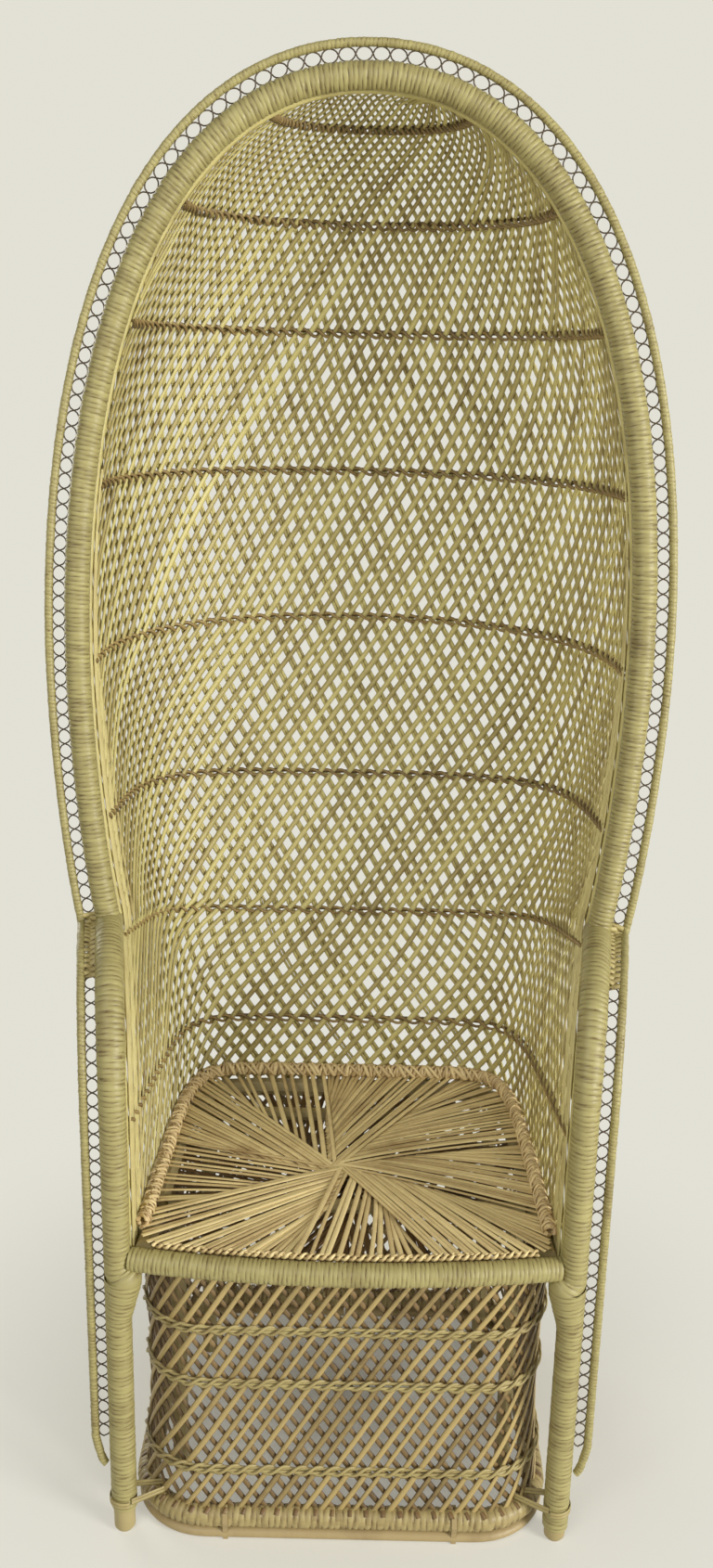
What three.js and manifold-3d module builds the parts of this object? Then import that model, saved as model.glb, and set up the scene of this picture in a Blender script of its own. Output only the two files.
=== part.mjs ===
// Hooded peacock chair in rattan and cane.
// Millimetres, +Z up, the seat facing -Y, standing on Z = 0 with the middle of its box on the Z axis.

import * as THREE from 'three';
import { mergeVertices } from 'three/addons/utils/BufferGeometryUtils.js';
import Module from 'manifold-3d';

const wasm = await Module();
wasm.setup();

// Fits
const clearance = 0.3;
const bandClearance = 0.4;
const borderClearance = 2;
const bindingGap = 1.5;

// Front posts and arms
const postSpacing = 532;
const postPoleDiameter = 25;
const postBindingDiameter = 31;
const bareFoot = 38;
const armBendStart = 575;
const armHeight = 736;
const armReach = 165;
const armFlare = 28;
const armEnd = 15;

// Hoop
const hoopPoleDiameter = 23;
const hoopBindingDiameter = 29;
const hoopWidth = 652;
const hoopWidestHeight = 1075;
const crownHeight = 1683;
const hoopLean = 0.08;
const hoopFootRise = 100;
const hoopFootSpread = 20;
const hoopWaistRise = 100;
const hoopShoulderRise = 360;
const crownSpread = 215;
const cuffDiameter = 30;
const cuffLength = 22;
const dowelDiameter = 8;
const dowelRise = 44;
const dowelDepth = 8;

// Rims and the ring lace that joins them to hoop and posts
const rimDiameter = 10;
const rimOffset = 32.5;
const rimHookHeight = 95;
const rimHookLength = 40;
const laceThickness = 2.6;
const lacePitch = 17;
const laceStrand = 2.2;

// Seat
const seatHeight = 405;
const seatDepth = 428;
const seatTaper = 15;
const seatThickness = 6;
const railPoleDiameter = 22;
const railBindingDiameter = 28;
const railBow = 21;
const nailDiameter = 4;
const nailDepth = 32;
const corbelDiameter = 14;
const corbelTip = 6;
const corbelLength = 56;
const frameDiameter = 25;
const barDiameter = 18;
const barFrontDepth = 110;
const barRearDepth = 330;
const borderDiameter = 14;

// Back and hood lattice
const latticeThickness = 8;
const latticeOpening = 0.66;
const latticeInset = 12;
const latticeHang = 26;
const backReach = 560;
const backWidestHeight = 1150;
const sweepDrop = 75;
const sweepLevelHeight = 1060;
const hoodCapWidth = 170;
const seatSquareness = 8;
const hoodSquareness = 2.2;
const backBandDiameter = 7;
const backBandRises = [108, 158, 196, 222, 201, 183, 141, 134];

// Base
const ringPoleDiameter = 20;
const ringBindingDiameter = 27;
const runnerWidth = 14;
const runnerHeight = 15;
const baseCornerRadius = 80;
const baseSetback = 13;
const baseWaist = 8;
const baseBandDiameter = 7;
const baseBandHeights = [97, 219, 296];
const uprightDiameter = 20;
const tieWidth = 6;
const tieThickness = 2;
const tieSpacing = 280;
const ringButtGap = 1;

// How finely curves are stepped
const poleSides = 6;
const bindingSides = 8;
const bandSides = 4;
const hoopSteps = 32;
const armSteps = 6;
const backColumns = 20;
const cornerSteps = 4;
const basePanels = 6;
const railSteps = 8;
const armEdgeSteps = 80;
const halvings = 40;
const heightStep = 2;
const plainLevels = [0, 0.5, 1, 1.25, 1.5, 1.75, 2, 3, 4, 4.33, 4.66, 5, 5.2, 5.4, 5.6, 5.8, 6];
const levelSpacing = 0.05;
const capShares = [0.35, 0.7, 1];
const tieArc = [45, 0, -45];

// Sizes that follow from the ones above
const postX = postSpacing / 2;
const postRadius = postBindingDiameter / 2;
const armEndX = postX + armFlare;
const hoopRadius = hoopBindingDiameter / 2;
const rimRadius = rimDiameter / 2;
const railRadius = railBindingDiameter / 2;
const frameRadius = frameDiameter / 2;
const barRadius = barDiameter / 2;
const plateBottom = seatHeight - seatThickness;
const railHeight = plateBottom - clearance - railRadius;
const frameHeight = plateBottom - clearance - frameRadius;
const barHeight = plateBottom - clearance - barRadius;
const latticeFoot = seatHeight - latticeHang;
const ringRadius = ringBindingDiameter / 2;
const ringHeight = runnerHeight + clearance + ringRadius;
const baseFoot = ringHeight + ringRadius + clearance;
const baseTop = Math.min(railHeight - railRadius, frameHeight - frameRadius) - clearance;

// Materials, one for each sort of cane
const boundCane = { color: 0xcdc08c, roughness: 0.55, metalness: 0 };
const barePole = { color: 0xb99560, roughness: 0.5, metalness: 0 };
const roundReed = { color: 0xb5925a, roughness: 0.6, metalness: 0 };
const darkLace = { color: 0x54412c, roughness: 0.7, metalness: 0 };
const flatCane = { color: 0xc6ae78, roughness: 0.6, metalness: 0 };
const paleWood = { color: 0xd2b98a, roughness: 0.6, metalness: 0 };
const steel = { color: 0x77777a, roughness: 0.4, metalness: 1 };

const chair = new THREE.Group();

function addPiece(name, geometry, look) {
  const mesh = new THREE.Mesh(geometry, new THREE.MeshStandardMaterial(look));
  mesh.name = name;
  chair.add(mesh);
}

// A path through stations, straight between them, that is stepped exactly at the stations
class StationPath extends THREE.Curve {
  constructor(stations) {
    super();
    this.stations = stations;
  }

  getPoint(t, target = new THREE.Vector3()) {
    const span = THREE.MathUtils.clamp(t, 0, 1) * (this.stations.length - 1);
    const index = Math.min(Math.floor(span), this.stations.length - 2);
    return target.lerpVectors(this.stations[index], this.stations[index + 1], span - index);
  }

  getPointAt(t, target) {
    return this.getPoint(t, target);
  }

  getTangentAt(t, target) {
    return this.getTangent(t, target);
  }
}

// A regular outline with one corner straight up
function roundOutline(diameter, sides) {
  const points = [];
  for (let i = 0; i < sides; i += 1) {
    const angle = Math.PI / 2 + (i * 2 * Math.PI) / sides;
    points.push(new THREE.Vector2(Math.cos(angle), Math.sin(angle)).multiplyScalar(diameter / 2));
  }
  return points;
}

function pole(stations, diameter, sides = poleSides) {
  const shape = new THREE.Shape(roundOutline(diameter, sides));
  const path = new StationPath(stations);
  return new THREE.ExtrudeGeometry(shape, { extrudePath: path, steps: stations.length - 1 });
}

// A binding: a tube of cane round a pole of the given diameter
function sleeve(stations, poleDiameter, diameter) {
  const shape = new THREE.Shape(roundOutline(diameter, bindingSides));
  shape.holes.push(new THREE.Path(roundOutline(poleDiameter + 2 * clearance, poleSides)));
  const path = new StationPath(stations);
  return new THREE.ExtrudeGeometry(shape, { extrudePath: path, steps: stations.length - 1 });
}

// The same piece on the other side of the chair
function mirrored(geometry) {
  const flat = geometry.index ? geometry.toNonIndexed() : geometry.clone();
  const position = flat.getAttribute('position');
  const corners = new Float32Array(position.count * 3);
  for (let i = 0; i < position.count; i += 3) {
    [i, i + 2, i + 1].forEach((from, k) => {
      corners[(i + k) * 3] = -position.getX(from);
      corners[(i + k) * 3 + 1] = position.getY(from);
      corners[(i + k) * 3 + 2] = position.getZ(from);
    });
  }
  const geometryOfPair = new THREE.BufferGeometry();
  geometryOfPair.setAttribute('position', new THREE.BufferAttribute(corners, 3));
  geometryOfPair.computeVertexNormals();
  return geometryOfPair;
}

// Adds a piece that the chair has on both sides, given as its right-hand form
function addPair(name, geometry, look) {
  addPiece(`right_${name}`, geometry, look);
  addPiece(`left_${name}`, mirrored(geometry), look);
}

// A closed mesh as a solid for cutting
function solidOf(geometry) {
  const bare = geometry.clone();
  bare.deleteAttribute('normal');
  bare.deleteAttribute('uv');
  const merged = mergeVertices(bare, 1e-4);
  const vertProperties = new Float32Array(merged.getAttribute('position').array);
  const triVerts = new Uint32Array(merged.getIndex().array);
  return new wasm.Manifold(new wasm.Mesh({ numProp: 3, vertProperties, triVerts }));
}

function geometryOf(solid) {
  const mesh = solid.getMesh();
  const geometry = new THREE.BufferGeometry();
  geometry.setAttribute('position', new THREE.BufferAttribute(new Float32Array(mesh.vertProperties), 3));
  geometry.setIndex(new THREE.BufferAttribute(new Uint32Array(mesh.triVerts), 1));
  geometry.computeVertexNormals();
  return geometry;
}

function cut(geometry, ...tools) {
  let solid = solidOf(geometry);
  for (const tool of tools) {
    solid = solid.subtract(solidOf(tool));
  }
  return geometryOf(solid);
}

// Joins faces given by corners into one closed mesh, leaving out faces that have no area
function meshOf(corners, faces) {
  const geometry = new THREE.BufferGeometry();
  geometry.setAttribute('position', new THREE.Float32BufferAttribute(corners.flatMap((p) => p.toArray()), 3));
  geometry.setIndex(faces.flat());
  const merged = mergeVertices(geometry, 1e-3);
  const index = merged.getIndex().array;
  const kept = [];
  for (let i = 0; i < index.length; i += 3) {
    const [a, b, c] = [index[i], index[i + 1], index[i + 2]];
    if (a !== b && b !== c && c !== a) {
      kept.push(a, b, c);
    }
  }
  merged.setIndex(kept);
  merged.computeVertexNormals();
  return merged;
}

// A sheet of even thickness round the triangles of its middle surface, which face the sheet's inside.
// Walls close it along every edge that only one triangle has.
function thickened(points, normals, triangles, thickness) {
  const count = points.length;
  const corners = [-0.5, 0.5].flatMap((side) =>
    points.map((point, i) => point.clone().addScaledVector(normals[i], side * thickness)),
  );
  const edgesOf = ([a, b, c]) => [[a, b], [b, c], [c, a]];
  const edges = new Set(triangles.flatMap(edgesOf).map(([from, to]) => from * count + to));
  const faces = [];
  for (const triangle of triangles) {
    const [a, b, c] = triangle;
    faces.push([a, b, c], [count + a, count + c, count + b]);
    for (const [from, to] of edgesOf(triangle)) {
      if (!edges.has(to * count + from)) {
        faces.push([from, count + from, count + to], [from, count + to, to]);
      }
    }
  }
  return meshOf(corners, faces);
}

// An openwork sheet on a grid of points. Rows run up the sheet, and the normals point to its outside.
// In the mesh rows every second point is a knot where strands cross, and a lozenge opening lies round each
// point between. The columns at the two sides and the rows above the mesh stay closed.
function openwork(rows, normals, meshRows, thickness, closed = false) {
  const count = rows[0].length;
  const points = rows.flat();
  const outward = normals.flat();
  const triangles = [];
  const at = (r, c) => r * count + ((c + count) % count);
  const panel = (r, c) => {
    triangles.push([at(r, c), at(r, c + 1), at(r + 1, c + 1)], [at(r, c), at(r + 1, c + 1), at(r + 1, c)]);
  };
  const opening = (middle, ring) => {
    const first = points.length;
    ring.forEach((corner) => {
      points.push(points[middle].clone().lerp(points[corner], latticeOpening));
      outward.push(outward[middle].clone().lerp(outward[corner], latticeOpening));
    });
    ring.forEach((corner, k) => {
      const next = (k + 1) % ring.length;
      triangles.push([corner, ring[next], first + next], [corner, first + next, first + k]);
    });
  };
  const firstColumn = closed ? 0 : 1;
  const lastColumn = closed ? count - 1 : count - 2;
  const topRow = meshRows.length - 1;
  meshRows.forEach((r, m) => {
    for (let c = firstColumn; c <= lastColumn; c += 1) {
      if ((c - firstColumn + m) % 2 === 0) {
        continue;
      }
      const [below, above] = [meshRows[Math.max(m - 1, 0)], meshRows[Math.min(m + 1, topRow)]];
      if (!closed && (c === firstColumn || c === lastColumn)) {
        for (let k = below; k < above; k += 1) {
          const [from, to] = c === firstColumn ? [k + 1, k] : [k, k + 1];
          triangles.push([at(r, c === firstColumn ? c + 1 : c - 1), at(from, c), at(to, c)]);
        }
      } else if (m === 0) {
        triangles.push([at(r, c), at(r, c + 1), at(above, c)], [at(r, c), at(above, c), at(r, c - 1)]);
      } else if (m === topRow) {
        triangles.push([at(r, c), at(r, c - 1), at(below, c)], [at(r, c), at(below, c), at(r, c + 1)]);
      } else {
        opening(at(r, c), [at(r, c + 1), at(above, c), at(r, c - 1), at(below, c)]);
      }
    }
  });
  for (let r = 0; r + 1 < rows.length; r += 1) {
    for (let c = 0; !closed && c + 1 < count; c += 1) {
      if (r >= meshRows[topRow] || c < firstColumn || c >= lastColumn) {
        panel(r, c);
      }
    }
  }
  return thickened(points, outward, triangles, thickness);
}

// A flat net between two edges: one lozenge opening for each pitch of its length
function net(innerEdge, outerEdge, faceNormals) {
  const corners = [];
  const faces = [];
  const half = laceThickness / 2;
  const at = (list, k, t) => list[k].clone().lerp(list[k + 1], t);
  const place = (k, t, across, side) => {
    const point = at(innerEdge, k, t).lerp(at(outerEdge, k, t), across);
    return point.addScaledVector(at(faceNormals, k, t).normalize(), side * half);
  };
  for (let k = 0; k + 1 < innerEdge.length; k += 1) {
    const length = innerEdge[k].distanceTo(innerEdge[k + 1]);
    const width = innerEdge[k].distanceTo(outerEdge[k]);
    const cells = Math.max(1, Math.round(length / lacePitch));
    const along = laceStrand / length;
    const across = laceStrand / width;
    for (let i = 0; i < cells; i += 1) {
      const [from, to] = [i / cells, (i + 1) / cells];
      const middle = (from + to) / 2;
      const spots = [
        [from, 0], [to, 0], [to, 1], [from, 1],
        [from + along, 0.5], [middle, across], [to - along, 0.5], [middle, 1 - across],
      ];
      const start = corners.length;
      for (const side of [1, -1]) {
        spots.forEach(([t, w]) => corners.push(place(k, t, w, side)));
      }
      const front = [[0, 1, 5], [1, 6, 5], [1, 2, 6], [2, 7, 6], [2, 3, 7], [3, 4, 7], [3, 0, 4], [0, 5, 4]];
      front.forEach(([a, b, c]) => faces.push([start + a, start + b, start + c]));
      front.forEach(([a, b, c]) => faces.push([start + 8 + a, start + 8 + c, start + 8 + b]));
      const wall = (a, b) => {
        faces.push([start + a, start + b, start + 8 + a], [start + b, start + 8 + b, start + 8 + a]);
      };
      [[4, 5], [5, 6], [6, 7], [7, 4], [1, 0], [3, 2]].forEach(([a, b]) => wall(a, b));
      if (k === 0 && i === 0) {
        wall(0, 3);
      }
      if (k + 2 === innerEdge.length && i + 1 === cells) {
        wall(2, 1);
      }
    }
  }
  return meshOf(corners, faces);
}

// Directions along a row of stations
function tangentsOf(stations) {
  return stations.map((point, i) => {
    const before = stations[Math.max(i - 1, 0)];
    const after = stations[Math.min(i + 1, stations.length - 1)];
    return after.clone().sub(before).normalize();
  });
}

// Stations moved sideways, mitred at the bends so that the moved stretches stay parallel
function offsetStations(stations, directions, distances) {
  return stations.map((point, i) => {
    const before = stations[Math.max(i - 1, 0)];
    const after = stations[Math.min(i + 1, stations.length - 1)];
    const into = point.clone().sub(before);
    const out = after.clone().sub(point);
    const bend = into.lengthSq() * out.lengthSq() > 0 ? into.angleTo(out) : 0;
    return point.clone().addScaledVector(directions[i], distances[i] / Math.cos(bend / 2));
  });
}

// Right post: leg, bend and arm on one centre line, from the floor to the arm's rear end
const armBend = armHeight - armBendStart;

function armPoint(angle) {
  const back = 1 - Math.cos(angle);
  return new THREE.Vector3(postX + armFlare * back, armReach * back, armBendStart + armBend * Math.sin(angle));
}

const legStations = [0, bareFoot, rimHookHeight, rimHookHeight + rimHookLength, armBendStart].map(
  (height) => new THREE.Vector3(postX, 0, height),
);
const armStations = [];
for (let i = 1; i <= armSteps; i += 1) {
  armStations.push(armPoint((i / armSteps) * (Math.PI / 2)));
}
const armFoot = armStations[armSteps - 1];
const armRun = new THREE.Vector3(armFlare, armReach, 0).normalize();
const bindingEnd = armFoot.clone().addScaledVector(armRun, -cuffDiameter / 2 - clearance);
const armTip = armFoot.clone().addScaledVector(armRun, armEnd);
const postStations = [...legStations, ...armStations.slice(0, -1), bindingEnd, armTip];
const postBindingStations = postStations.slice(1, -1);

// Hoop: its centre line from the left arm over the crown to the right arm, in one leaning plane
function hoopPoint(x, z) {
  return new THREE.Vector3(x, armReach + (z - armHeight) * hoopLean, z);
}

const hoopX = hoopWidth / 2;
const hoopRight = [
  [armEndX, armHeight],
  [armEndX + hoopFootSpread, armHeight + hoopFootRise],
  [hoopX, hoopWidestHeight - hoopWaistRise],
  [hoopX, hoopWidestHeight],
  [hoopX, hoopWidestHeight + hoopShoulderRise],
  [crownSpread, crownHeight],
  [0, crownHeight],
].map(([x, z]) => hoopPoint(x, z));
const hoopLower = new THREE.CubicBezierCurve3(...hoopRight.slice(0, 4));
const hoopUpper = new THREE.CubicBezierCurve3(...hoopRight.slice(3));
const hoopHalf = new THREE.CurvePath();
hoopHalf.add(hoopLower);
hoopHalf.add(hoopUpper);

const hoopHalfLength = hoopHalf.getLength();
const cuffStart = postPoleDiameter / 2 + hoopFootSpread / hoopFootRise * cuffDiameter;
const cuffEnd = cuffStart + cuffLength;
const hoopBindingStart = cuffEnd + bindingGap;
const hoopAt = (length) => hoopHalf.getPointAt(length / hoopHalfLength);
const acrossChair = (point) => new THREE.Vector3(-point.x, point.y, point.z);

const rightHoopStations = [];
for (let i = 0; i <= hoopSteps / 2; i += 1) {
  const share = i / (hoopSteps / 2);
  rightHoopStations.push(hoopAt(THREE.MathUtils.lerp(hoopBindingStart, hoopHalfLength, share)));
}
const hoopStations = [
  ...rightHoopStations.map(acrossChair),
  ...rightHoopStations.slice(0, -1).reverse(),
];
const hoopFootStations = [hoopAt(0), hoopAt(cuffStart), hoopAt(cuffEnd)];
const hoopPoleStations = [
  ...hoopFootStations.map(acrossChair),
  ...hoopStations,
  ...hoopFootStations.slice().reverse(),
];

// Dowel that pins the hoop to the arm, along the hoop's first stretch
const hoopFootRun = hoopAt(cuffStart).sub(hoopAt(0)).normalize();
const dowelStations = [-dowelDepth, dowelRise].map((length) => hoopAt(0).addScaledVector(hoopFootRun, length));
const dowelBore = pole(
  [-dowelDepth - clearance, dowelRise + clearance].map((length) => hoopAt(0).addScaledVector(hoopFootRun, length)),
  dowelDiameter + 2 * clearance,
);

// Nail through the post into the end of the front rail
const nailStart = postX + postPoleDiameter / 2 - clearance;
const nailEnd = postX - postRadius - clearance - nailDepth;
const nailStations = [nailEnd, nailStart].map((x) => new THREE.Vector3(x, 0, railHeight));
const nailBoreStart = postX + postPoleDiameter / 2 + clearance / 2;
const nailBore = pole(
  [nailEnd - clearance, nailBoreStart].map((x) => new THREE.Vector3(x, 0, railHeight)),
  nailDiameter + 2 * clearance,
);

const postSleeve = sleeve(postBindingStations, postPoleDiameter, postBindingDiameter);
addPair('front_post', cut(pole(postStations, postPoleDiameter), dowelBore, nailBore), barePole);
addPair('post_binding', cut(postSleeve, nailBore), boundCane);
addPair('rail_nail', pole(nailStations, nailDiameter), steel);

const armEnvelope = pole(postStations, postPoleDiameter + 2 * clearance);
const hoopPole = cut(
  pole(hoopPoleStations, hoopPoleDiameter),
  armEnvelope,
  mirrored(armEnvelope),
  dowelBore,
  mirrored(dowelBore),
);
addPiece('hoop_pole', hoopPole, barePole);
addPiece('hoop_binding', sleeve(hoopStations, hoopPoleDiameter, hoopBindingDiameter), boundCane);
addPair('arm_cuff', sleeve(hoopFootStations.slice(1), hoopPoleDiameter, cuffDiameter), flatCane);
addPair('hoop_dowel', pole(dowelStations, dowelDiameter), paleWood);

// Hoop rim and its lace: the rim hooks in to the hoop at both ends
const hoopPlane = new THREE.Vector3(0, 1, -hoopLean).normalize();
const hoopTangents = tangentsOf(hoopStations);
const hoopOutward = hoopTangents.map((tangent) => tangent.clone().cross(hoopPlane).normalize());
const hoopRimHook = hoopRadius + rimRadius + clearance;
const hoopRimReach = hoopStations.map((point, i) => (i === 0 || i === hoopSteps ? hoopRimHook : rimOffset));
const hoopRimStations = offsetStations(hoopStations, hoopOutward, hoopRimReach);
addPiece('hoop_rim', pole(hoopRimStations, rimDiameter), boundCane);

function laceBetween(stations, outward, faceNormals, innerRadius) {
  const reach = (distance) => stations.map(() => distance);
  const innerEdge = offsetStations(stations, outward, reach(innerRadius + clearance));
  const outerEdge = offsetStations(stations, outward, reach(rimOffset - rimRadius - clearance));
  return net(innerEdge, outerEdge, faceNormals);
}

const hoopLaceStations = hoopStations.slice(1, -1);
const hoopLaceOutward = hoopOutward.slice(1, -1);
const hoopFaces = hoopLaceStations.map(() => hoopPlane.clone().negate());
addPiece('hoop_lace', laceBetween(hoopLaceStations, hoopLaceOutward, hoopFaces, hoopRadius), darkLace);

// Arm rims and their lace: hooked in above the foot and at the arm's rear end
const armRimStations = postStations.slice(2, -1);
const armTangents = tangentsOf(armRimStations);
const sideways = new THREE.Vector3(1, 0, 0);
const armOutward = armTangents.map((tangent) => sideways.clone().addScaledVector(tangent, -tangent.x).normalize());
const armRimHook = postRadius + rimRadius + clearance;
const lastArm = armRimStations.length - 1;
const armRimReach = armRimStations.map((point, i) => (i === 0 || i === lastArm ? armRimHook : rimOffset));
addPair('arm_rim', pole(offsetStations(armRimStations, armOutward, armRimReach), rimDiameter), boundCane);

const armLaceStations = armRimStations.slice(1, -1);
const armLaceOutward = armOutward.slice(1, -1);
const armFaces = armTangents.slice(1, -1).map((tangent, i) => tangent.clone().cross(armLaceOutward[i]));
addPair('arm_lace', laceBetween(armLaceStations, armLaceOutward, armFaces, postRadius), darkLace);

// Back and hood: the lattice's side edge runs up behind the post, under the arm and up behind the hoop.
// A level counts along that edge: 0 to 1 post, to 2 arm bend, to 3 arm end, to 4 hoop foot, to 5 and 6 hoop.
const edgeX = (x) => x - latticeInset;
const postEdge = postRadius + clearance;
const hoopEdge = hoopRadius + clearance;
const armEdgeDepth = armTip.y + (postPoleDiameter / 2) * armRun.x + 2 * clearance;
const hoopFootHeight = armHeight + postPoleDiameter / 2;
const footShare = (hoopFootHeight - armHeight) / (hoopWidestHeight - armHeight);

function upperShareAtWidth(width) {
  let [low, high] = [0, 1];
  for (let i = 0; i < halvings; i += 1) {
    const middle = (low + high) / 2;
    if (hoopUpper.getPoint(middle).x > width) {
      low = middle;
    } else {
      high = middle;
    }
  }
  return low;
}

const capShare = upperShareAtWidth(hoodCapWidth / 2);

function hoopEdgePoint(point) {
  const depth = Math.max(point.y + hoopEdge, armEdgeDepth);
  return new THREE.Vector3(edgeX(point.x), depth, point.z);
}

function bendEdgePoint(share) {
  const angle = (share * Math.PI) / 2;
  const inside = new THREE.Vector3(0, armBend * Math.cos(angle), -armReach * Math.sin(angle)).normalize();
  const point = armPoint(angle).addScaledVector(inside, postEdge);
  return new THREE.Vector3(edgeX(point.x), point.y, point.z);
}

function edgePoint(level) {
  const stretch = Math.min(Math.floor(level), 5);
  const t = level - stretch;
  if (stretch === 0) {
    return new THREE.Vector3(edgeX(postX), postEdge, THREE.MathUtils.lerp(latticeFoot, armBendStart, t));
  }
  if (stretch === 1) {
    return bendEdgePoint(t);
  }
  const hoopFoot = hoopEdgePoint(hoopLower.getPoint(footShare));
  const underArm = new THREE.Vector3(edgeX(armEndX), armEdgeDepth, armHeight - postEdge);
  if (stretch === 2) {
    return bendEdgePoint(1).lerp(underArm, t);
  }
  if (stretch === 3) {
    return underArm.lerp(hoopFoot, t);
  }
  if (stretch === 4) {
    return hoopEdgePoint(hoopLower.getPoint(THREE.MathUtils.lerp(footShare, 1, t)));
  }
  return hoopEdgePoint(hoopUpper.getPoint(t * capShare));
}

// Middle of the back: upright behind the seat, out to the widest reach, then round under the crown
const crownDepth = hoopPoint(0, crownHeight).y + hoopEdge;

function backDepthAt(height) {
  if (height <= backWidestHeight) {
    const share = (height - latticeFoot) / (backWidestHeight - latticeFoot);
    return THREE.MathUtils.lerp(seatDepth, backReach, Math.sin((share * Math.PI) / 2) ** 2);
  }
  const rise = (height - backWidestHeight) / (crownHeight - backWidestHeight);
  return crownDepth + (backReach - crownDepth) * Math.sqrt(Math.max(0, 1 - rise * rise));
}

// How far up the side edge a level lies, as a share of the way from the seat to the hoop's foot
const armEdgeLengths = [0];
for (let i = 1; i <= armEdgeSteps; i += 1) {
  const [from, to] = [i - 1, i].map((step) => edgePoint((4 * step) / armEdgeSteps));
  armEdgeLengths.push(armEdgeLengths[i - 1] + from.distanceTo(to));
}

function armEdgeShare(level) {
  const step = (level / 4) * armEdgeSteps;
  const index = Math.min(Math.floor(step), armEdgeSteps - 1);
  const length = THREE.MathUtils.lerp(armEdgeLengths[index], armEdgeLengths[index + 1], step - index);
  return length / armEdgeLengths[armEdgeSteps];
}

// Height of a row in the middle of the back: rows sink towards the back at the arms and are level above
function backHeightAt(level) {
  const edge = edgePoint(level);
  const hoopFoot = edgePoint(4);
  if (level <= 4) {
    return THREE.MathUtils.lerp(latticeFoot, hoopFoot.z - sweepDrop, armEdgeShare(level));
  }
  const rise = (edge.z - hoopFoot.z) / (sweepLevelHeight - hoopFoot.z);
  return edge.z - sweepDrop * (1 - Math.min(rise, 1)) ** 2;
}

function rowPoints(level, columns = backColumns) {
  const edge = edgePoint(level);
  const height = backHeightAt(level);
  const depth = backDepthAt(height);
  const rise = THREE.MathUtils.clamp((height - latticeFoot) / (sweepLevelHeight - latticeFoot), 0, 1);
  const squareness = THREE.MathUtils.lerp(seatSquareness, hoodSquareness, rise);
  const taper = seatTaper * (1 - rise);
  const points = [];
  const turns = 4 * columns;
  for (let i = 0; i <= turns; i += 1) {
    const angle = (i / turns - 0.5) * Math.PI;
    const across = Math.sign(angle) * Math.abs(Math.sin(angle)) ** (2 / squareness);
    const back = i === 0 || i === turns ? 0 : Math.cos(angle) ** (2 / squareness);
    points.push(
      new THREE.Vector3(
        across * (edge.x - taper * back),
        THREE.MathUtils.lerp(edge.y, depth, back),
        THREE.MathUtils.lerp(edge.z, height, back),
      ),
    );
  }
  return new THREE.CatmullRomCurve3(points, false, 'centripetal').getSpacedPoints(columns);
}

// The cap of the hood: from the last full row forward to the hoop's crown
function capRow(share) {
  const angle = (share * Math.PI) / 2;
  return rowPoints(6).map((point) => {
    const crown = hoopUpper.getPoint(upperShareAtWidth(Math.abs(point.x) + latticeInset));
    const front = crown.y + hoopEdge;
    const depth = THREE.MathUtils.lerp(front, Math.max(point.y, front), Math.cos(angle));
    return new THREE.Vector3(point.x, depth, THREE.MathUtils.lerp(point.z, crown.z, Math.sin(angle)));
  });
}

// Levels of the twined bands, from their rises up the middle of the back
function levelAtHeight(height) {
  let [low, high] = [0, 6];
  for (let i = 0; i < halvings; i += 1) {
    const middle = (low + high) / 2;
    if (backHeightAt(middle) < height) {
      low = middle;
    } else {
      high = middle;
    }
  }
  return low;
}

function backHeightAfter(length) {
  let height = latticeFoot;
  let travelled = 0;
  while (travelled < length && height < crownHeight) {
    const next = Math.min(height + heightStep, crownHeight);
    travelled += Math.hypot(next - height, backDepthAt(next) - backDepthAt(height));
    height = next;
  }
  return height;
}

const bandLevels = [];
let bandRise = 0;
for (const rise of backBandRises) {
  bandRise += rise;
  const height = backHeightAfter(bandRise);
  if (height < backHeightAt(6) - backBandDiameter) {
    bandLevels.push(levelAtHeight(height));
  }
}

// Rows of the openwork: the foot, each band, and one row half-way up to each band
const meshLevels = [0];
bandLevels.forEach((band, i) => {
  const below = i === 0 ? 0 : bandLevels[i - 1];
  meshLevels.push(levelAtHeight((backHeightAt(below) + backHeightAt(band)) / 2), band);
});
const rowLevels = [
  ...plainLevels.filter((level) => meshLevels.every((mesh) => Math.abs(mesh - level) > levelSpacing)),
  ...meshLevels,
].sort((a, b) => a - b);
const meshRows = meshLevels.map((level) => rowLevels.indexOf(level));
const backRows = rowLevels.map((level) => rowPoints(level));
const capRows = capShares.map((share) => capRow(share));
const shellRows = [...backRows, ...capRows];

function outwardAt(rows, r, c) {
  const row = rows[r];
  const along = row[Math.min(c + 1, row.length - 1)].clone().sub(row[Math.max(c - 1, 0)]);
  const below = rows[Math.max(r - 1, 0)][c];
  const above = rows[Math.min(r + 1, rows.length - 1)][c];
  return above.clone().sub(below).cross(along).normalize();
}

const shellNormals = shellRows.map((row, r) => row.map((point, c) => outwardAt(shellRows, r, c)));
const lastFull = backRows.length - 1;
for (let r = lastFull; r < shellRows.length; r += 1) {
  for (const c of [0, backColumns]) {
    shellNormals[r][c] = outwardAt(backRows, lastFull, c);
    shellRows[r][c] = backRows[lastFull][c];
  }
}
addPiece('back_lattice', openwork(shellRows, shellNormals, meshRows, latticeThickness), roundReed);

const bandInset = latticeThickness / 2 + bandClearance + backBandDiameter / 2;
bandLevels.forEach((level, i) => {
  const r = rowLevels.indexOf(level);
  const inward = shellNormals[r].map((normal) => normal.clone().negate());
  const distances = inward.map(() => bandInset);
  const stations = offsetStations(shellRows[r], inward, distances);
  addPiece(`back_band_${i + 1}`, pole(stations, backBandDiameter, bandSides), roundReed);
});

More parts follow.
